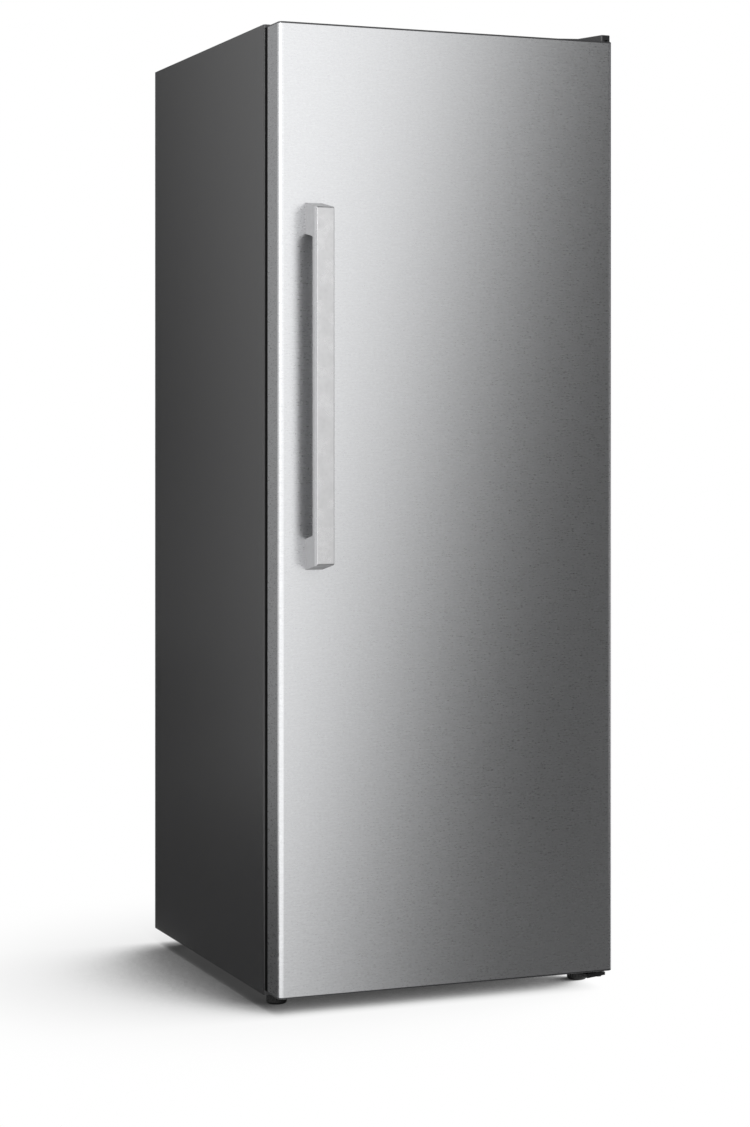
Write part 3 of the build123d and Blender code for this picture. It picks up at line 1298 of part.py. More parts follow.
def make_upper_hinge():
    """Steel plate on the cabinet's top with the pin riveted in, under a plastic cover."""
    with BuildPart() as bracket:
        hinge_plate(HINGE_INSET, HINGE_TONGUE, HINGE_SHOULDER, CABINET_TOP, HINGE_PLATE)
        post(PIN_X, PIN_Y, DOOR_TOP - HINGE_PIN_GRIP, CABINET_TOP + HINGE_PLATE, HINGE_PIN_RADIUS)
    save(bracket, "upper_hinge")

    right = SIDE - COVER_INSET
    nose_y = DOOR_FRONT + COVER_SETBACK
    low = DOOR_TOP + COVER_GAP
    high = CABINET_TOP + COVER_HEIGHT
    notch_x = SIDE - COVER_NOTCH_INSET
    with BuildPart() as cover:
        with BuildSketch(Plane.XY.offset(low)) as outline:
            with BuildLine():
                Polyline(
                    (right, FRONT + COVER_REACH),
                    (right, nose_y),
                    (SIDE - COVER_NOSE, nose_y),
                    (SIDE - COVER_WAIST, DOOR_FRONT + COVER_WAIST_DEPTH),
                    (SIDE - COVER_SPAN, FRONT + COVER_GAP),
                    (SIDE - COVER_SPAN, FRONT + COVER_REACH),
                    close=True,
                )
            make_face()
            fillet(outline.vertices(), COVER_CORNER)
        extrude(amount=high - low)
        fillet(cover.edges().group_by(Axis.Z)[-1], COVER_EDGE)
        with BuildSketch(Plane.XY.offset(low)) as hollow:
            add(outline.sketch.moved(Location((0, 0, 0))))
            offset(amount=-COVER_WALL, mode=Mode.REPLACE)
        extrude(hollow.sketch, amount=high - low - COVER_WALL, mode=Mode.SUBTRACT)
        block(
            SIDE - 2 * COVER_SPAN,
            SIDE,
            FRONT - COVER_GAP,
            FRONT + 2 * COVER_REACH,
            low,
            CABINET_TOP,
            mode=Mode.SUBTRACT,
        )
        block(
            notch_x - COVER_NOTCH_WIDTH / 2,
            notch_x + COVER_NOTCH_WIDTH / 2,
            nose_y,
            nose_y + COVER_WALL,
            low,
            low + COVER_NOTCH,
            mode=Mode.SUBTRACT,
        )
    save(cover, "hinge_cover")


def make_lower_hinge():
    """Steel plate under the cabinet that holds the lower pin and clears the right foot."""
    low = CABINET_BOTTOM - LOWER_PLATE
    with BuildPart() as bracket:
        hinge_plate(LOWER_INSET, LOWER_TONGUE, LOWER_SHOULDER, low, LOWER_PLATE)
        with BuildSketch(Plane.XZ.offset(PAD_SETBACK - FRONT)) as pad:
            with BuildLine():
                Polyline(
                    (SIDE - LOWER_TONGUE + HINGE_CORNER, low),
                    (SIDE - LOWER_TONGUE + HINGE_CORNER, low - PAD_DEPTH),
                    (SIDE - PAD_END, low),
                    close=True,
                )
            make_face()
        extrude(pad.sketch, amount=FRONT - PAD_SETBACK - PIN_Y + HINGE_FRONT)
        post(*FOOT_PLACES["foot_right"], low, CABINET_BOTTOM, STUD_RADIUS + STUD_ROOM, mode=Mode.SUBTRACT)
        post(PIN_X, PIN_Y, low - PIN_HEAD, low, PIN_HEAD_RADIUS)
        post(PIN_X, PIN_Y, low, DOOR_BOTTOM + HINGE_PIN_GRIP, HINGE_PIN_RADIUS)
    save(bracket, "lower_hinge")

    top = CABINET_TOP + HINGE_PLATE
    with BuildPart() as screws:
        for x, y in HINGE_SCREWS:
            post(x, y, CABINET_TOP - SCREW_LENGTH, top, SCREW_RADIUS)
            post(x, y, top, top + SCREW_HEAD_HEIGHT, SCREW_HEAD)
            post(x, y, low, low + SCREW_LENGTH, SCREW_RADIUS)
            post(x, y, low - SCREW_HEAD_HEIGHT, low, SCREW_HEAD)
    save(screws, "hinge_screws")


# ---- door ------------------------------------------------------------------------------
def make_door_form(inset, z0, z1):
    """The door's rounded outline, pulled in all round by an inset, from z0 to z1."""
    with BuildPart() as form:
        block(-SIDE + inset, SIDE - inset, DOOR_FRONT + inset, DOOR_BACK - inset, z0, z1)
        fillet(front_edges(form, DOOR_FRONT + inset), DOOR_RADIUS - inset)
        fillet(front_edges(form, DOOR_BACK - inset), DOOR_REAR_RADIUS - inset)
    return form.part


def make_door_panel():
    """Stainless skin: the front, both long edges and a folded return behind."""
    with BuildPart() as panel:
        add(make_door_form(0, DOOR_BOTTOM + DOOR_CAP, DOOR_TOP - DOOR_CAP))
        add(make_door_form(DOOR_SHEET, DOOR_BOTTOM, DOOR_TOP), mode=Mode.SUBTRACT)
        block(
            -SIDE + DOOR_RETURN,
            SIDE - DOOR_RETURN,
            DOOR_BACK - DOOR_SHEET,
            DOOR_BACK,
            DOOR_BOTTOM,
            DOOR_TOP,
            mode=Mode.SUBTRACT,
        )
        for x, z in HANDLE_SCREWS:
            spindle(x, z, DOOR_FRONT, DOOR_FRONT + DOOR_SHEET, SCREW_RADIUS + SCREW_ROOM, mode=Mode.SUBTRACT)
    save(panel, "door_panel")


def make_door_cap(label, z_face, up):
    """Plastic end cap with a rim inside the skin and a boss round the hinge bush."""
    plate = sorted((z_face, z_face - up * DOOR_CAP))
    rim = sorted((z_face - up * DOOR_CAP, z_face - up * (DOOR_CAP + DOOR_CAP_RIM)))
    bore = sorted((z_face, z_face - up * (DOOR_CAP + DOOR_CAP_RIM)))
    wall = DOOR_SHEET + DOOR_CAP_WALL
    with BuildPart() as cap:
        add(make_door_form(0, *plate))
        fillet(cap.edges().group_by(Axis.Z)[-1 if up > 0 else 0], DOOR_CAP_RADIUS)
        add(make_door_form(DOOR_SHEET, *rim))
        block(-SIDE + wall, SIDE - wall, DOOR_FRONT + wall, DOOR_BACK - wall, *rim, mode=Mode.SUBTRACT)
        post(PIN_X, PIN_Y, *rim, BUSH_RADIUS + BUSH_WALL)
        post(PIN_X, PIN_Y, *bore, BUSH_RADIUS, mode=Mode.SUBTRACT)
    save(cap, label)


def make_bushes():
    """Plastic bushes that turn on the hinge pins; the lower one carries the door."""
    grip = DOOR_CAP + DOOR_CAP_RIM
    with BuildPart() as bushes:
        post(PIN_X, PIN_Y, DOOR_TOP - grip, DOOR_TOP, BUSH_RADIUS)
        post(PIN_X, PIN_Y, DOOR_TOP, DOOR_TOP + BUSH_FLANGE, BUSH_FLANGE_RADIUS)
        post(PIN_X, PIN_Y, DOOR_BOTTOM, DOOR_BOTTOM + grip, BUSH_RADIUS)
        post(PIN_X, PIN_Y, CABINET_BOTTOM + SEAL_CLEARANCE, DOOR_BOTTOM, BUSH_FLANGE_RADIUS)
        post(PIN_X, PIN_Y, 0, CABINET_TOP, HINGE_PIN_RADIUS + RUNNING, mode=Mode.SUBTRACT)
    save(bushes, "hinge_bushes")


def dike_frame(out, inn, y0, y1, mode=Mode.ADD):
    """The door liner's ridge as a ring, pulled in by out and widened by inn."""
    frame(
        DIKE_X - out,
        DIKE_X - DIKE_WIDTH + inn,
        DIKE_LOW + out,
        DIKE_LOW + DIKE_WIDTH - inn,
        DIKE_HIGH - out,
        DIKE_HIGH - DIKE_WIDTH + inn,
        y0,
        y1,
        mode=mode,
    )


def make_door_liner():
    """White formed inner door: flange, raised ridge all round and lugs for the racks."""
    edge = LINER_EDGE
    ridge = DOOR_BACK + DIKE_DEPTH
    low = DOOR_BOTTOM + edge
    high = DOOR_TOP - edge
    lug_y0 = DOOR_BACK + RACK_RIM_START - LUG_OVER
    lug_y1 = DOOR_BACK + RACK_RIM_START + RACK_RIM_LENGTH + LUG_OVER
    with BuildPart() as liner:
        dike_frame(0, 0, DOOR_BACK, ridge)
        fillet(liner.faces().sort_by(Axis.Y)[-1].edges(), DIKE_RADIUS)
        block(-SIDE + edge, SIDE - edge, DOOR_BACK, DOOR_BACK + LINER, low, high)
        dike_frame(LINER, LINER, DOOR_BACK, ridge - DIKE_FACE, mode=Mode.SUBTRACT)
        for z in RACK_HEIGHTS:
            lug_top = z + RACK_HEIGHT - RACK_RIM
            for side in (-1, 1):
                x0, x1 = sorted((side * RACK_SPACE, side * (RACK_SPACE - LUG_REACH)))
                block(x0, x1, lug_y0, lug_y1, lug_top - LUG_HEIGHT, lug_top)
    save(liner, "door_liner")


def make_door_foam():
    """Foam that fills the door and the hollow ridge of its liner."""
    low = DOOR_BOTTOM + DOOR_CAP + DOOR_CAP_RIM
    high = DOOR_TOP - DOOR_CAP - DOOR_CAP_RIM
    pocket_end = DOOR_FRONT + DOOR_SHEET + SCREW_HEAD_HEIGHT + SCREW_ROOM
    with BuildPart() as foam:
        add(make_door_form(DOOR_SHEET, low, high))
        block(-SIDE + DOOR_RETURN, SIDE - DOOR_RETURN, DOOR_BACK - DOOR_SHEET, DOOR_BACK, low, high)
        dike_frame(LINER, LINER, DOOR_BACK + DIKE_FOAM_GAP, DOOR_BACK + DIKE_DEPTH - DIKE_FACE)
        for x, z in HANDLE_SCREWS:
            spindle(x, z, DOOR_FRONT, pocket_end, SCREW_HEAD + SCREW_ROOM, mode=Mode.SUBTRACT)
    save(foam, "door_foam")


def seal_ring(hinge_side, inner, y0, y1):
    """One layer of the seal: its own inset on the hinge side, the same on the other three."""
    with BuildSketch(Plane.XZ.offset(-y1)) as ring:
        left = -SIDE + SEAL_OUT
        right = SIDE - hinge_side
        with Locations(((left + right) / 2, (DOOR_BOTTOM + DOOR_TOP) / 2)):
            Rectangle(right - left, DOOR_TOP - DOOR_BOTTOM - 2 * SEAL_OUT)
        with Locations((0, (DOOR_BOTTOM + DOOR_TOP) / 2)):
            Rectangle(2 * (SIDE - inner), DOOR_TOP - DOOR_BOTTOM - 2 * inner, mode=Mode.SUBTRACT)
    extrude(ring.sketch, amount=y1 - y0)


def make_gasket():
    """Black magnetic seal: a wide base on the door and a bellows that meets the cabinet."""
    base_end = DOOR_BACK + SEAL_BASE_END
    neck_end = DOOR_BACK + SEAL_NECK_END
    with BuildPart() as gasket:
        seal_ring(SEAL_HINGE_BASE, LINER_EDGE, DOOR_BACK, DOOR_BACK + LINER)
        seal_ring(SEAL_HINGE_BASE, SEAL_BASE_IN, DOOR_BACK + LINER, base_end)
        seal_ring(SEAL_HINGE_NECK, SEAL_NECK_IN, base_end, neck_end)
        seal_ring(SEAL_HINGE_FACE, SEAL_FACE_IN, neck_end, FRONT - SEAL_CLEARANCE)
    save(gasket, "door_gasket")


def make_racks():
    """Door racks: open trays whose rims hang on the liner's lugs."""
    half = RACK_SPACE - LUG_REACH - RACK_GAP
    rim_half = RACK_SPACE - RACK_GAP
    rim_y0 = DOOR_BACK + RACK_RIM_START
    rim_y1 = rim_y0 + RACK_RIM_LENGTH
    y0 = DOOR_BACK + LINER + RACK_GAP
    y1 = y0 + RACK_DEPTH
    inside = (-half + RACK_WALL, half - RACK_WALL, y0 + RACK_WALL, y1 - RACK_WALL)
    for i, z in enumerate(RACK_HEIGHTS):
        top = z + RACK_HEIGHT
        with BuildPart() as rack:
            rounded_block(-half, half, y0, y1, z, top, RACK_RADIUS)
            block(-rim_half, rim_half, rim_y0, rim_y1, top - RACK_RIM, top)
            rounded_block(*inside, z + RACK_WALL, top, RACK_RADIUS - RACK_WALL, mode=Mode.SUBTRACT)
        save(rack, f"door_rack_{i + 1}")


def make_handle():
    """Bar handle: a body with two raked posts, a trim on its front, and screws from the door."""
    y_front = DOOR_FRONT - HANDLE_REACH
    y_trim = y_front + HANDLE_TRIM
    y_bar = y_front + HANDLE_BAR
    trim_rake = HANDLE_RAKE * HANDLE_TRIM / HANDLE_REACH
    bar_rake = HANDLE_RAKE * HANDLE_BAR / HANDLE_REACH
    side_plane = Plane.YZ.offset(HANDLE_X - HANDLE_WIDTH / 2)
    with BuildPart() as trim:
        with BuildSketch(side_plane):
            with BuildLine():
                Polyline(
                    (y_front, HANDLE_LOW),
                    (y_trim, HANDLE_LOW - trim_rake),
                    (y_trim, HANDLE_HIGH + trim_rake),
                    (y_front, HANDLE_HIGH),
                    close=True,
                )
            make_face()
        extrude(amount=HANDLE_WIDTH)
        fillet(trim.faces().sort_by(Axis.Y)[0].edges().filter_by(Axis.X), HANDLE_RADIUS)
        fillet(trim.faces().sort_by(Axis.Y)[0].edges(), HANDLE_EDGE)
    save(trim, "handle_trim")

    with BuildPart() as body:
        with BuildSketch(side_plane):
            with BuildLine():
                Polyline(
                    (y_trim, HANDLE_LOW - trim_rake),
                    (DOOR_FRONT, HANDLE_LOW - HANDLE_RAKE),
                    (DOOR_FRONT, HANDLE_LOW - HANDLE_RAKE + HANDLE_POST),
                    (y_bar, HANDLE_LOW - bar_rake + HANDLE_POST),
                    (y_bar, HANDLE_HIGH + bar_rake - HANDLE_POST),
                    (DOOR_FRONT, HANDLE_HIGH + HANDLE_RAKE - HANDLE_POST),
                    (DOOR_FRONT, HANDLE_HIGH + HANDLE_RAKE),
                    (y_trim, HANDLE_HIGH + trim_rake),
                    close=True,
                )
            make_face()
        extrude(amount=HANDLE_WIDTH)
        inner_corners = body.edges().filter_by(Axis.X).filter_by_position(Axis.Y, y_bar - 0.1, y_bar + 0.1)
        fillet(inner_corners, HANDLE_CORNER)
        for x, z in HANDLE_SCREWS:
            spindle(x, z, DOOR_FRONT - SCREW_LENGTH, DOOR_FRONT, SCREW_RADIUS, mode=Mode.SUBTRACT)
    save(body, "handle_body")

    with BuildPart() as screws:
        for x, z in HANDLE_SCREWS:
            spindle(x, z, DOOR_FRONT - SCREW_LENGTH, DOOR_FRONT + DOOR_SHEET, SCREW_RADIUS)
            spindle(x, z, DOOR_FRONT + DOOR_SHEET, DOOR_FRONT + DOOR_SHEET + SCREW_HEAD_HEIGHT, SCREW_HEAD)
    save(screws, "handle_screws")


# ---- build -----------------------------------------------------------------------------
shell_room = make_shell_room()
cavity_form = make_cavity(0)
liner_outside = make_cavity(LINER)

make_outer_shell(shell_room)
make_inner_liner(cavity_form, liner_outside)
make_insulation(shell_room, liner_outside)
make_condenser_tube()
make_back_panel()
make_base_pan()
make_front_rail()
make_shelves()
make_shelf_clips()
make_bin()
make_duct_cover()
make_evaporator()
make_heater_and_drain()
make_fan()
make_controls()
make_bay_plate()
make_compressor()
make_lines()
make_rear_cover()
make_rollers()
make_feet()
make_upper_hinge()
make_lower_hinge()
make_door_panel()
make_door_cap("door_cap_top", DOOR_TOP, 1)
make_door_cap("door_cap_bottom", DOOR_BOTTOM, -1)
make_bushes()
make_door_liner()
make_door_foam()
make_gasket()
make_racks()
make_handle()
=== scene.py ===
import json
from math import cos, pi, radians, sin

import bmesh
import bpy
from mathutils import Matrix, Vector
from mathutils.geometry import tessellate_polygon


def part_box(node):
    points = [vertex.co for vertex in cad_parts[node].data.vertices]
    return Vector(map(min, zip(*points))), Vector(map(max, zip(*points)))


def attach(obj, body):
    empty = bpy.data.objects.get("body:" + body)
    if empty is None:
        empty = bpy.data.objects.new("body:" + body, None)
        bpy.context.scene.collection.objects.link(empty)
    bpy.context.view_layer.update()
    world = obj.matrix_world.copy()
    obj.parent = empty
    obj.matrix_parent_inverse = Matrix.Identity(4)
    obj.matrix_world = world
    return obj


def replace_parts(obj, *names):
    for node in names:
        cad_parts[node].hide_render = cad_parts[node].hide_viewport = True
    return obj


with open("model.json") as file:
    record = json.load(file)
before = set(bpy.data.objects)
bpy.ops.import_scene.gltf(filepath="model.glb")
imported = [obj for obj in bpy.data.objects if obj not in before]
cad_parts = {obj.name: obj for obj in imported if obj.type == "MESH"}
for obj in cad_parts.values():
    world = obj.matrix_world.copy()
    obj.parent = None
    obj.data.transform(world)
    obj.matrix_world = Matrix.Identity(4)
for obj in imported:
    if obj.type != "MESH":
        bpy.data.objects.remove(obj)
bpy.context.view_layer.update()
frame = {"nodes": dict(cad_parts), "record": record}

# Upright freezer, dressed for a studio picture. Metres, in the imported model's frame: +X is the viewer's
# right, the door faces -Y, the floor is Z = 0.

scene = bpy.context.scene
NODES = frame["nodes"]
MM = 0.001


# ---- materials -------------------------------------------------------------------------
NOISE_LOW, NOISE_HIGH = 0.3, 0.7  # most of a noise texture's values lie between these


class Look:
    """A procedural material: the Principled shader and the nodes that feed it."""

    def __init__(self, name, colour, roughness, **sockets):
        self.material = bpy.data.materials.new(name)
        self.material.use_nodes = True
        self.nodes = self.material.node_tree.nodes
        self.links = self.material.node_tree.links
        self.shader = self.nodes["Principled BSDF"]
        self.shader.inputs["Base Color"].default_value = (*colour, 1)
        self.shader.inputs["Roughness"].default_value = roughness
        for socket, value in sockets.items():
            self.shader.inputs[socket.replace("_", " ")].default_value = value
        self.colour = colour
        self.roughness = roughness
        self.coords = self.nodes.new("ShaderNodeTexCoord").outputs["Object"]

    def join(self, output, socket):
        self.links.new(output, socket)

    def place(self, stretch=(1, 1, 1)):
        """Object coordinates, scaled along each axis."""
        mapping = self.nodes.new("ShaderNodeMapping")
        mapping.inputs["Scale"].default_value = stretch
        self.join(self.coords, mapping.inputs["Vector"])
        return mapping.outputs["Vector"]

    def noise(self, scale, stretch=(1, 1, 1), detail=2.0, rough=0.5):
        texture = self.nodes.new("ShaderNodeTexNoise")
        texture.inputs["Scale"].default_value = scale
        texture.inputs["Detail"].default_value = detail
        texture.inputs["Roughness"].default_value = rough
        self.join(self.place(stretch), texture.inputs["Vector"])
        return texture.outputs["Fac"]

    def cells(self, scale):
        texture = self.nodes.new("ShaderNodeTexVoronoi")
        texture.inputs["Scale"].default_value = scale
        self.join(self.place(), texture.inputs["Vector"])
        return texture.outputs["Distance"]

    def span(self, value, low, high, from_low=NOISE_LOW, from_high=NOISE_HIGH):
        """A value carried from one range to another."""
        node = self.nodes.new("ShaderNodeMapRange")
        node.inputs["From Min"].default_value = from_low
        node.inputs["From Max"].default_value = from_high
        node.inputs["To Min"].default_value = low
        node.inputs["To Max"].default_value = high
        self.join(value, node.inputs["Value"])
        return node.outputs["Result"]

    def math(self, kind, a, b):
        node = self.nodes.new("ShaderNodeMath")
        node.operation = kind
        for socket, value in zip(node.inputs, (a, b)):
            if isinstance(value, (int, float)):
                socket.default_value = value
            else:
                self.join(value, socket)
        return node.outputs["Value"]

    def tint(self, factor, low, high):
        """Base colour between two shades of this look's colour."""
        mix = self.nodes.new("ShaderNodeMix")
        mix.data_type = "RGBA"
        mix.inputs["A"].default_value = (*[c * low for c in self.colour], 1)
        mix.inputs["B"].default_value = (*[c * high for c in self.colour], 1)
        self.join(factor, mix.inputs["Factor"])
        self.join(mix.outputs["Result"], self.shader.inputs["Base Color"])

    def gloss(self, factor, spread):
        """Roughness that varies by a spread each way."""
        out = self.span(factor, self.roughness - spread, self.roughness + spread)
        self.join(out, self.shader.inputs["Roughness"])

    def bump(self, height, strength, depth):
        node = self.nodes.new("ShaderNodeBump")
        node.inputs["Strength"].default_value = strength
        node.inputs["Distance"].default_value = depth
        self.join(height, node.inputs["Height"])
        self.join(node.outputs["Normal"], self.shader.inputs["Normal"])


def brushed_steel(name, colour, roughness):
    """Steel with fine horizontal brushing and a grain that mottles it softly."""
    streak_share, grain_share = 0.45, 0.55
    grazing_tint = (0.35, 0.35, 0.35, 1)
    look = Look(name, colour, roughness, Metallic=1, Anisotropic=0.4, Anisotropic_Rotation=0.25)
    look.shader.inputs["Specular Tint"].default_value = grazing_tint
    streaks = look.noise(60, stretch=(1, 1, 14), detail=4, rough=0.7)
    grain = look.noise(420, stretch=(0.45, 0.45, 1), detail=3, rough=0.6)
    both = look.math(
        "ADD", look.math("MULTIPLY", streaks, streak_share), look.math("MULTIPLY", grain, grain_share)
    )
    look.tint(look.span(both, 0, 1, from_low=0.35, from_high=0.65), low=0.9, high=1.08)
    look.gloss(both, spread=0.06)
    look.bump(both, strength=0.05, depth=0.4 * MM)
    return look.material


def plain_metal(name, colour, roughness, streak=0.05, metallic=1.0):
    """Zinc-coated, machined or cast metal with faint spangle."""
    look = Look(name, colour, roughness, Metallic=metallic)
    spangle = look.cells(140)
    look.tint(look.span(spangle, 0, 1, from_low=0, from_high=0.8), low=1 - streak, high=1 + streak)
    look.gloss(look.noise(35), spread=0.08)
    look.bump(look.noise(900), strength=0.05, depth=0.3 * MM)
    return look.material


def paint(name, colour, roughness, peel=0.12):
    """Sprayed and baked paint: orange peel, faint unevenness."""
    look = Look(name, colour, roughness)
    look.tint(look.noise(3, detail=3), low=0.985, high=1.015)
    look.gloss(look.noise(40), spread=0.003)
    look.bump(look.noise(700, detail=1), strength=peel, depth=0.3 * MM)
    return look.material


def moulding(name, colour, roughness, grain=0.12):
    """Moulded plastic with a fine spark-eroded grain."""
    look = Look(name, colour, roughness)
    look.tint(look.noise(9, detail=2), low=0.97, high=1.03)
    look.gloss(look.noise(60), spread=0.05)
    look.bump(look.cells(1300), strength=grain, depth=0.2 * MM)
    return look.material


def clear_moulding(name, colour, roughness):
    """Frosted see-through plastic."""
    look = Look(name, colour, roughness, IOR=1.46, Transmission_Weight=0.75)
    look.tint(look.noise(12, detail=2), low=0.97, high=1.02)
    look.gloss(look.noise(80), spread=0.05)
    look.bump(look.noise(300, detail=2), strength=0.05, depth=0.2 * MM)
    return look.material


def rubber(name, colour, roughness):
    """Matt rubber, slightly uneven in shade."""
    look = Look(name, colour, roughness, Specular_IOR_Level=0.05)
    look.tint(look.noise(50, detail=3), low=0.8, high=1.2)
    look.gloss(look.noise(120), spread=0.08)
    look.bump(look.noise(1500, detail=1), strength=0.15, depth=0.2 * MM)
    return look.material


def rigid_foam(name, colour, roughness):
    """Foam with open cells."""
    look = Look(name, colour, roughness)
    look.tint(look.noise(25, detail=4), low=0.88, high=1.06)
    look.bump(look.cells(700), strength=0.5, depth=0.8 * MM)
    return look.material


# Base colour and roughness of each slot in the record, and how strong its surface texture is.
LOOKS = {
    "cabinet_paint": paint("cabinet_paint", (0.026, 0.026, 0.0265), 0.27, peel=0.004),
    "bare_steel": plain_metal("bare_steel", (0.52, 0.53, 0.54), 0.42),
    "black_steel": paint("black_steel", (0.012, 0.012, 0.013), 0.45, peel=0.25),
    "fasteners": plain_metal("fasteners", (0.6, 0.59, 0.56), 0.3),
    "liner_white": moulding("liner_white", (0.8, 0.81, 0.82), 0.22, grain=0.03),
    "foam": rigid_foam("foam", (0.75, 0.65, 0.38), 0.85),
    "wire_coating": moulding("wire_coating", (0.82, 0.82, 0.82), 0.3, grain=0.04),
    "white_plastic": moulding("white_plastic", (0.78, 0.79, 0.8), 0.38),
    "clear_tray": clear_moulding("clear_tray", (0.85, 0.9, 0.93), 0.22),
    "lamp_lens": clear_moulding("lamp_lens", (0.95, 0.95, 0.93), 0.4),
    "coil": plain_metal("coil", (0.75, 0.76, 0.77), 0.35),
    "motor": moulding("motor", (0.035, 0.035, 0.036), 0.5),
    "compressor_paint": paint("compressor_paint", (0.015, 0.015, 0.017), 0.3),
    "copper": plain_metal("copper", (0.72, 0.38, 0.24), 0.3, streak=0.12),
    "condenser_steel": plain_metal("condenser_steel", (0.2, 0.17, 0.16), 0.5),
    "black_rubber": rubber("black_rubber", (0.002, 0.002, 0.002), 0.7),
    "foot_plastic": moulding("foot_plastic", (0.01, 0.01, 0.01), 0.5),
    "cap_plastic": moulding("cap_plastic", (0.045, 0.045, 0.047), 0.45),
    "stainless": brushed_steel("stainless", (0.6, 0.605, 0.615), 0.3),
    "handle_satin": plain_metal("handle_satin", (0.49, 0.49, 0.495), 0.3, streak=0.03),
}

for part in frame["record"]["subparts"]:
    node = NODES[part["node"]]
    node.data.materials.clear()
    node.data.materials.append(LOOKS[part["material_slot"]])

# The hinge cover is darker than the caps. The handle's body is a darker copy of the satin metal on the
# trim on its front: painted shade on the body's side faces and in the finger gap behind the bar.
NODES["hinge_cover"].data.materials[0] = moulding(
    "hinge_cover_plastic", (0.02, 0.02, 0.021), 0.35, grain=0.05
)
NODES["handle_body"].data.materials[0] = plain_metal(
    "handle_body_satin_painted_shade", (0.33, 0.33, 0.335), 0.4, streak=0.03, metallic=0.7
)


# ---- added pieces ----------------------------------------------------------------------
SEAL_FRONT = 15.3  # mm from the door to where the magnet pocket's front rounds off
HINGE_SHIFT = -3  # mm; the seal's inner half lies nearer its edge on the hinge side

# Rear cover's screws. Shares are of the head's radius, or of its height where it says so.
COVER_HEAD = 2.2 * MM
COVER_SHANK = 2.5 * MM
SCREW_SIDES = 24
CROSS_ARM = 0.62
CROSS_SLOT = 0.15
CROSS_DEPTH = 0.55  # of the height
CROSS_TAPER = 0.8
HEAD_DOME = [(1, 0.45), (0.93, 0.75), (0.78, 1)]  # radius, height

# Dial: angles in degrees, counted from the viewer's right.
DIAL_SETTINGS = 7
DIAL_START = 225
DIAL_STEP = 45
DIAL_GRIP_STANDS = 2.2 * MM
MARK_SIZE = 4.4 * MM
MARK_GAP = 2.6 * MM
MARK_HEIGHT = 0.1 * MM
MARK_LIFT = 0.05 * MM
POINTER_HEIGHT = 0.12 * MM
POINTER_OUTLINE = [(0.55, -0.8), (0.88, -0.3), (0.88, 0.3), (0.55, 0.8)]  # share of radius, mm


def finished(name, bm, slot, body):
    """A new piece from built-up faces, with its material and its body."""
    bmesh.ops.recalc_face_normals(bm, faces=bm.faces)
    mesh = bpy.data.meshes.new(name)
    bm.to_mesh(mesh)
    bm.free()
    mesh.materials.append(LOOKS[slot])
    piece = bpy.data.objects.new(name, mesh)
    scene.collection.objects.link(piece)
    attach(piece, body)
    return piece


def walls(bm, ring, after):
    """Faces between two closed rings of corners."""
    for i in range(len(ring)):
        j = (i + 1) % len(ring)
        bm.faces.new((ring[i], ring[j], after[j], after[i]))


def loft(bm, rings):
    """Faces between closed rings of points, the last joined to the first."""
    loops = [[bm.verts.new(point) for point in ring] for ring in rings]
    for k, loop in enumerate(loops):
        walls(bm, loop, loops[(k + 1) % len(loops)])


def make_seal():
    """Bellows seal: base, fold, magnet pocket and inner flap, mitred at the corners."""
    low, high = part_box("door_gasket")
    depth = high.y - low.y
    bm = bmesh.new()
    # The section in mm: inset from the outer edge, the hinge side's extra inset, depth from the door.
    section = [
        (0, 0, 0), (0, 0, 4.6), (0.5, 0, 5.2), (3.2, 2, 6), (3.8, 4, 6.8), (3.2, 5, 7.6),
        (0.7, 7, 8.4), (0.1, 8, 9.2), (0, 8, 14.6), (0.4, 8, SEAL_FRONT), (1.2, 8, depth / MM),
        (22, HINGE_SHIFT, depth / MM), (22.8, HINGE_SHIFT, SEAL_FRONT), (23, HINGE_SHIFT, 14.6),
        (23, HINGE_SHIFT, 9.4), (24, HINGE_SHIFT, 8.2), (24, HINGE_SHIFT, 6.4),
        (27, HINGE_SHIFT, 5.6), (27, HINGE_SHIFT, 2.2), (11.4, HINGE_SHIFT, 2.2),
        (11, HINGE_SHIFT, 2), (11, HINGE_SHIFT, 0),
    ]
    rings = []
    for inset, extra, out in section:
        left, right = low.x + inset * MM, high.x - (inset + extra) * MM
        bottom, top = low.z + inset * MM, high.z - inset * MM
        y = low.y + out * MM
        rings.append([(left, y, bottom), (right, y, bottom), (right, y, top), (left, y, top)])
    loft(bm, rings)
    seal = finished("seal_bellows", bm, "black_rubber", "door")
    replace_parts(seal, "door_gasket")


def place_on(bm, turn, centre):
    """Turns the built-up faces and moves them to their centre."""
    bmesh.ops.transform(bm, matrix=Matrix.Translation(centre) @ turn, verts=bm.verts)


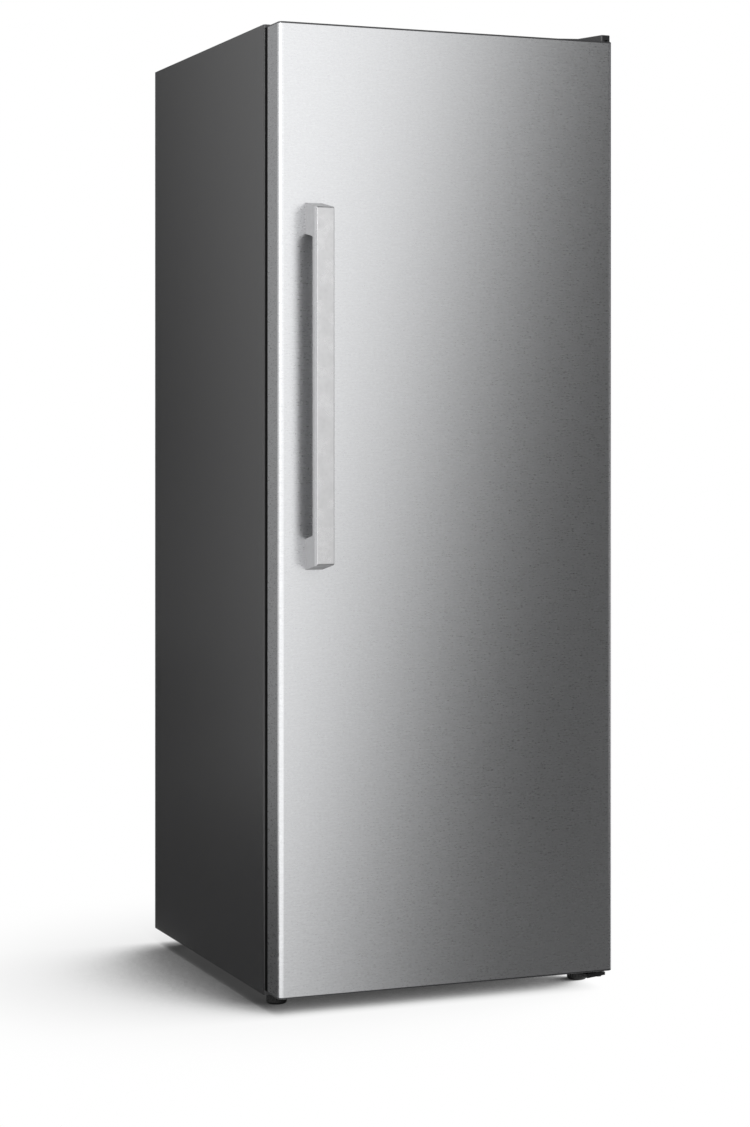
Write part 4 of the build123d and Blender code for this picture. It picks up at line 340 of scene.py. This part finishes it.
def cross_screw(bm, radius, height, shank, length, turn, centre):
    """A screw with a domed, cross-recessed head; the head points along +Z before it is turned."""
    arm, slot, deep = CROSS_ARM * radius, CROSS_SLOT * radius, CROSS_DEPTH * height
    cross = [(slot, slot), (slot, arm), (-slot, arm), (-slot, slot), (-arm, slot), (-arm, -slot)]
    cross += [(-x, -y) for x, y in cross]
    angles = [2 * pi * i / SCREW_SIDES for i in range(SCREW_SIDES)]
    rim = [(radius * cos(angle), radius * sin(angle)) for angle in angles]
    levels = [(shank / radius, -length), (shank / radius, 0), (1, 0)]
    levels += [(share, rise * height) for share, rise in HEAD_DOME]
    rings = [[bm.verts.new((x * share, y * share, z)) for x, y in rim] for share, z in levels]
    for ring, after in zip(rings, rings[1:]):
        walls(bm, ring, after)
    top = [bm.verts.new((x, y, height)) for x, y in cross]
    floor = [bm.verts.new((CROSS_TAPER * x, CROSS_TAPER * y, height - deep)) for x, y in cross]
    for i in range(len(cross)):
        j = (i + 1) % len(cross)
        bm.faces.new((top[j], top[i], floor[i], floor[j]))
    bm.faces.new(floor)
    bm.faces.new(list(reversed(rings[0])))
    # The flat ring between the dome's last edge and the cross.
    flat = [[Vector((v.co.x, v.co.y, 0)) for v in loop] for loop in (rings[-1], top)]
    corners = rings[-1] + top
    for triangle in tessellate_polygon(flat):
        bm.faces.new([corners[i] for i in triangle])
    place_on(bm, turn, centre)


def islands(node):
    """The lowest and highest corner of each separate solid in a node."""
    bm = bmesh.new()
    bm.from_mesh(NODES[node].data)
    seen, found = set(), []
    for start in bm.verts:
        if start.index in seen:
            continue
        stack, group = [start], []
        seen.add(start.index)
        while stack:
            vert = stack.pop()
            group.append(vert.co.copy())
            for edge in vert.link_edges:
                other = edge.other_vert(vert)
                if other.index not in seen:
                    seen.add(other.index)
                    stack.append(other)
        low = Vector([min(c[k] for c in group) for k in range(3)])
        high = Vector([max(c[k] for c in group) for k in range(3)])
        found.append((low, high))
    bm.free()
    return found


def make_rear_screws():
    """Cross-recessed screws that hold the rear cover."""
    bm = bmesh.new()
    turn = Matrix.Rotation(-pi / 2, 4, "X")
    for low, high in islands("cover_screws"):
        radius = (high.x - low.x) / 2
        seat = high.y - COVER_HEAD
        one = bmesh.new()
        cross_screw(
            one, radius, COVER_HEAD, COVER_SHANK, seat - low.y, turn,
            Vector(((low.x + high.x) / 2, seat, (low.z + high.z) / 2)),
        )
        # The finished screw joins the others by way of a mesh.
        spare = bpy.data.meshes.new("spare")
        one.to_mesh(spare)
        one.free()
        bm.from_mesh(spare)
        bpy.data.meshes.remove(spare)
    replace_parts(finished("cover_screws_cross", bm, "fasteners", "cabinet"), "cover_screws")


def lettering(name, text, size, place, turn, slot, body):
    """Raised print."""
    curve = bpy.data.curves.new(name, "FONT")
    curve.body = text
    curve.size = size
    curve.extrude = MARK_HEIGHT
    curve.align_x = "CENTER"
    curve.align_y = "CENTER"
    curve.materials.append(LOOKS[slot])
    piece = bpy.data.objects.new(name, curve)
    piece.matrix_world = Matrix.Translation(place) @ turn
    scene.collection.objects.link(piece)
    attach(piece, body)


def make_dial_marks():
    """Settings 1 to 7 round the dial, and the dial's pointer, which stands at 1 at rest."""
    low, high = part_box("thermostat_dial")
    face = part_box("control_housing")[0].y
    middle = (low + high) / 2
    radius = (high.x - low.x) / 2
    reach = radius + MARK_GAP
    upright = Matrix.Rotation(pi / 2, 4, "X")
    for number in range(DIAL_SETTINGS):
        angle = radians(DIAL_START - DIAL_STEP * number)
        place = Vector((middle.x + reach * cos(angle), face - MARK_LIFT, middle.z + reach * sin(angle)))
        text = str(number + 1)
        lettering(f"dial_mark_{text}", text, MARK_SIZE, place, upright, "motor", "cabinet")

    disc = low.y + DIAL_GRIP_STANDS
    bm = bmesh.new()
    outline = [(share * radius, across * MM) for share, across in POINTER_OUTLINE]
    back = [bm.verts.new((x, y, 0)) for x, y in outline]
    front = [bm.verts.new((x, y, POINTER_HEIGHT)) for x, y in outline]
    bm.faces.new(front)
    bm.faces.new(list(reversed(back)))
    walls(bm, back, front)
    turn = upright @ Matrix.Rotation(radians(DIAL_START), 4, "Z")
    place_on(bm, turn, Vector((middle.x, disc, middle.z)))
    finished("dial_pointer", bm, "motor", "dial")


make_seal()
make_rear_screws()
make_dial_marks()


# ---- studio ----------------------------------------------------------------------------
# Camera fitted to the photograph. Focal length, height and horizon are in the photograph's pixels.
EYE = Vector((-1.6841, -4.1584, 0.9497))
HEADING = radians(21.95)
FOCAL = 2543.97
PICTURE_HEIGHT = 1127
HORIZON = 428.71
SENSOR = 36  # mm, along the picture's height

WHITE = (1, 1, 1, 1)
ROOM_COLOUR = (0.95, 0.97, 1, 1)
ROOM_STRENGTH = 0.24

FLOOR_HALF = 30
FLOOR_COLOUR = (0.85, 0.85, 0.85, 1)
SHADE_REACH = 0.6
SHADE_SAMPLES = 48
SHADE_LEAN = (0.9, -0.3, 0.4)  # the way shade is looked for, so it falls to the left and back
FLOOR_SHADE = [  # how open the floor is, brightness
    (0.2, 0.02), (0.38, 0.05), (0.42, 0.14), (0.46, 0.34), (0.5, 0.57), (0.55, 0.74),
    (0.62, 0.85), (0.72, 0.92), (0.8, 0.96), (0.87, 0.99), (0.93, 1), (1, 1),
]

CARD_STRENGTH = 1.6
FRONT_CARD_Y = -1.5
LEFT_CARD_X = -1.3
EDGE_CARD_X = -1.25
FLOOR_CARD_Z = 0.002

camera_data = bpy.data.cameras.new("camera")
camera_data.sensor_width = SENSOR
camera_data.lens = FOCAL * SENSOR / PICTURE_HEIGHT
camera_data.shift_y = (HORIZON - PICTURE_HEIGHT / 2) / PICTURE_HEIGHT
camera = bpy.data.objects.new("camera", camera_data)
camera.location = EYE
camera.rotation_euler = (pi / 2, 0, -HEADING)
scene.collection.objects.link(camera)
scene.camera = camera
scene.view_settings.view_transform = "Standard"


def seen_directly(nodes, links, others):
    """1 for camera rays and the other named kinds of ray."""
    path = nodes.new("ShaderNodeLightPath")
    found = path.outputs["Is Camera Ray"]
    for other in others:
        either = nodes.new("ShaderNodeMath")
        either.operation = "MAXIMUM"
        links.new(found, either.inputs[0])
        links.new(path.outputs[other], either.inputs[1])
        found = either.outputs["Value"]
    return found


def shade_by_ray(nodes, links, others, usual, direct, output):
    """Shows one shader to the camera and the other named rays, and the usual one to the rest."""
    mix = nodes.new("ShaderNodeMixShader")
    links.new(seen_directly(nodes, links, others), mix.inputs[0])
    links.new(usual.outputs[0], mix.inputs[1])
    links.new(direct.outputs[0], mix.inputs[2])
    links.new(mix.outputs[0], output.inputs["Surface"])


def brightness_ramp(nodes, links, value, stops):
    """A smooth curve from a value to a brightness, through (value, brightness) stops."""
    low, high = stops[0][0], stops[-1][0]
    place = nodes.new("ShaderNodeMapRange")
    place.inputs["From Min"].default_value = low
    place.inputs["From Max"].default_value = high
    links.new(value, place.inputs["Value"])
    ramp = nodes.new("ShaderNodeValToRGB")
    ramp.color_ramp.interpolation = "B_SPLINE"
    elements = ramp.color_ramp.elements
    while len(elements) < len(stops):
        elements.new(1)
    for element, (position, brightness) in zip(elements, stops):
        element.position = (position - low) / (high - low)
        element.color = (brightness, brightness, brightness, 1)
    links.new(place.outputs["Result"], ramp.inputs["Fac"])
    return ramp.outputs["Color"]


def make_room():
    """A dim, cool room that lights the object, in front of a white background."""
    world = bpy.data.worlds.new("studio")
    scene.world = world
    world.use_nodes = True
    nodes, links = world.node_tree.nodes, world.node_tree.links
    room = nodes["Background"]
    room.inputs["Color"].default_value = ROOM_COLOUR
    room.inputs["Strength"].default_value = ROOM_STRENGTH
    white = nodes.new("ShaderNodeBackground")
    white.inputs["Color"].default_value = WHITE
    shade_by_ray(nodes, links, ["Is Transmission Ray"], room, white, nodes["World Output"])


def empty_material(name):
    """A new material with only its output node."""
    mat = bpy.data.materials.new(name)
    mat.use_nodes = True
    mat.node_tree.nodes.remove(mat.node_tree.nodes["Principled BSDF"])
    return mat, mat.node_tree.nodes, mat.node_tree.links


def flat_panel(name, corners):
    mesh = bpy.data.meshes.new(name)
    mesh.from_pydata(corners, [], [tuple(range(len(corners)))])
    panel = bpy.data.objects.new(name, mesh)
    scene.collection.objects.link(panel)
    return panel


def lying(x, y, z):
    """Corners of a level rectangle, from its spans along X and Y."""
    return [(x[0], y[0], z), (x[1], y[0], z), (x[1], y[1], z), (x[0], y[1], z)]


def across_front(x, y, z):
    """Corners of an upright rectangle ahead of the door, from its spans along X and Z."""
    return [(x[0], y, z[0]), (x[1], y, z[0]), (x[1], y, z[1]), (x[0], y, z[1])]


def along_side(x, y, z):
    """Corners of an upright rectangle beside the cabinet, from its spans along Y and Z."""
    return [(x, y[0], z[0]), (x, y[1], z[0]), (x, y[1], z[1]), (x, y[0], z[1])]


def make_floor():
    """White floor that is darkened softly where the object shades it."""
    floor = flat_panel("floor", lying((-FLOOR_HALF, FLOOR_HALF), (-FLOOR_HALF, FLOOR_HALF), 0))
    mat, nodes, links = empty_material("floor")
    matt = nodes.new("ShaderNodeBsdfDiffuse")
    matt.inputs["Color"].default_value = FLOOR_COLOUR
    shade = nodes.new("ShaderNodeAmbientOcclusion")
    shade.samples = SHADE_SAMPLES
    shade.inputs["Distance"].default_value = SHADE_REACH
    lean = nodes.new("ShaderNodeCombineXYZ")
    for socket, value in zip(lean.inputs, SHADE_LEAN):
        socket.default_value = value
    links.new(lean.outputs[0], shade.inputs["Normal"])
    glow = nodes.new("ShaderNodeEmission")
    links.new(brightness_ramp(nodes, links, shade.outputs["AO"], FLOOR_SHADE), glow.inputs["Color"])
    others = ["Is Glossy Ray", "Is Transmission Ray"]
    shade_by_ray(nodes, links, others, matt, glow, nodes["Material Output"])
    floor.data.materials.append(mat)


def reflector(name, corners, across, stops):
    """A studio card for glossy surfaces, hidden from the camera; its brightness changes one way."""
    card = flat_panel(name, corners)
    card.visible_camera = False
    card.visible_shadow = False
    card.visible_diffuse = False
    mat, nodes, links = empty_material(name)
    coords = nodes.new("ShaderNodeTexCoord")
    along = nodes.new("ShaderNodeVectorMath")
    along.operation = "DOT_PRODUCT"
    along.inputs[1].default_value = across
    links.new(coords.outputs["Object"], along.inputs[0])
    glow = nodes.new("ShaderNodeEmission")
    links.new(brightness_ramp(nodes, links, along.outputs["Value"], stops), glow.inputs["Color"])
    glow.inputs["Strength"].default_value = CARD_STRENGTH
    links.new(glow.outputs[0], nodes["Material Output"].inputs["Surface"])
    card.data.materials.append(mat)


def softbox(name, place, target, width, height, power, glossy=True):
    """A rectangular lamp, turned to its target."""
    light = bpy.data.lights.new(name, "AREA")
    light.shape = "RECTANGLE"
    light.size = width
    light.size_y = height
    light.energy = power
    lamp = bpy.data.objects.new(name, light)
    lamp.location = place
    lamp.rotation_euler = (Vector(target) - Vector(place)).to_track_quat("-Z", "Y").to_euler()
    lamp.visible_camera = False
    lamp.visible_glossy = glossy
    scene.collection.objects.link(lamp)


make_room()
make_floor()
# Ahead of the door: bright to the left, dark to the right with one lighter band.
reflector(
    "card_front",
    across_front((-3, 3.2), FRONT_CARD_Y, (0, 2.8)),
    across=(1, 0, -0.21),
    stops=[
        (-3, 0.9), (-0.8, 0.95), (-0.35, 1), (-0.1, 0.97), (0.17, 0.66), (0.42, 0.1),
        (0.62, 0.03), (0.95, 0.03), (1.25, 0.3), (1.6, 0.3), (1.9, 0.02), (2.4, 0.02),
    ],
)
# The floor ahead of the door, darker to the right.
reflector(
    "card_front_floor",
    lying((-1.2, 3.2), (FRONT_CARD_Y, -0.31), FLOOR_CARD_Z),
    across=(1, 0.4, 0),
    stops=[(-0.95, 0.8), (-0.6, 0.75), (-0.42, 0.48), (-0.2, 0.15), (0, 0.08), (1, 0.07)],
)
# Left of the cabinet: black far behind, lighter towards the front.
reflector(
    "card_left",
    along_side(LEFT_CARD_X, (-1, 8), (0, 5)),
    across=(0, -1, 0.35),
    stops=[
        (-4.2, 0), (-3.3, 0), (-2.9, 0), (-2.5, 0.05), (-2.15, 0.26), (-1.8, 0.46), (-1.2, 0.55),
        (0, 0.55),
    ],
)
# The floor left of the cabinet, dark all over. Seen only in glossy surfaces, it is a painted shadow of
# the floor there and a dark surround for the cabinet's side.
reflector(
    "card_left_floor_painted_shadow",
    lying((-3, -0.32), (-0.3, 6), FLOOR_CARD_Z),
    across=(0, 1, 0),
    stops=[(-0.3, 0.05), (6, 0.05)],
)
# Left of the door, for its rounded edge.
reflector(
    "card_edge",
    along_side(EDGE_CARD_X, (-1.45, -0.2), (0, 2.6)),
    across=(0, 1, 0),
    stops=[(-1.45, 0.95), (-0.2, 0.9)],
)
# Only the key shows in glossy surfaces.
softbox("key", (-1.7, -1.0, 2.2), target=(-0.3, 0, 1.2), width=0.9, height=0.9, power=42)
softbox("fill", (2.6, -2.4, 2.0), target=(0, 0, 0.9), width=1.8, height=1.8, power=20, glossy=False)
softbox("rear", (0.6, 3.0, 2.4), target=(0, 0.3, 0.8), width=2.0, height=1.4, power=20, glossy=False)
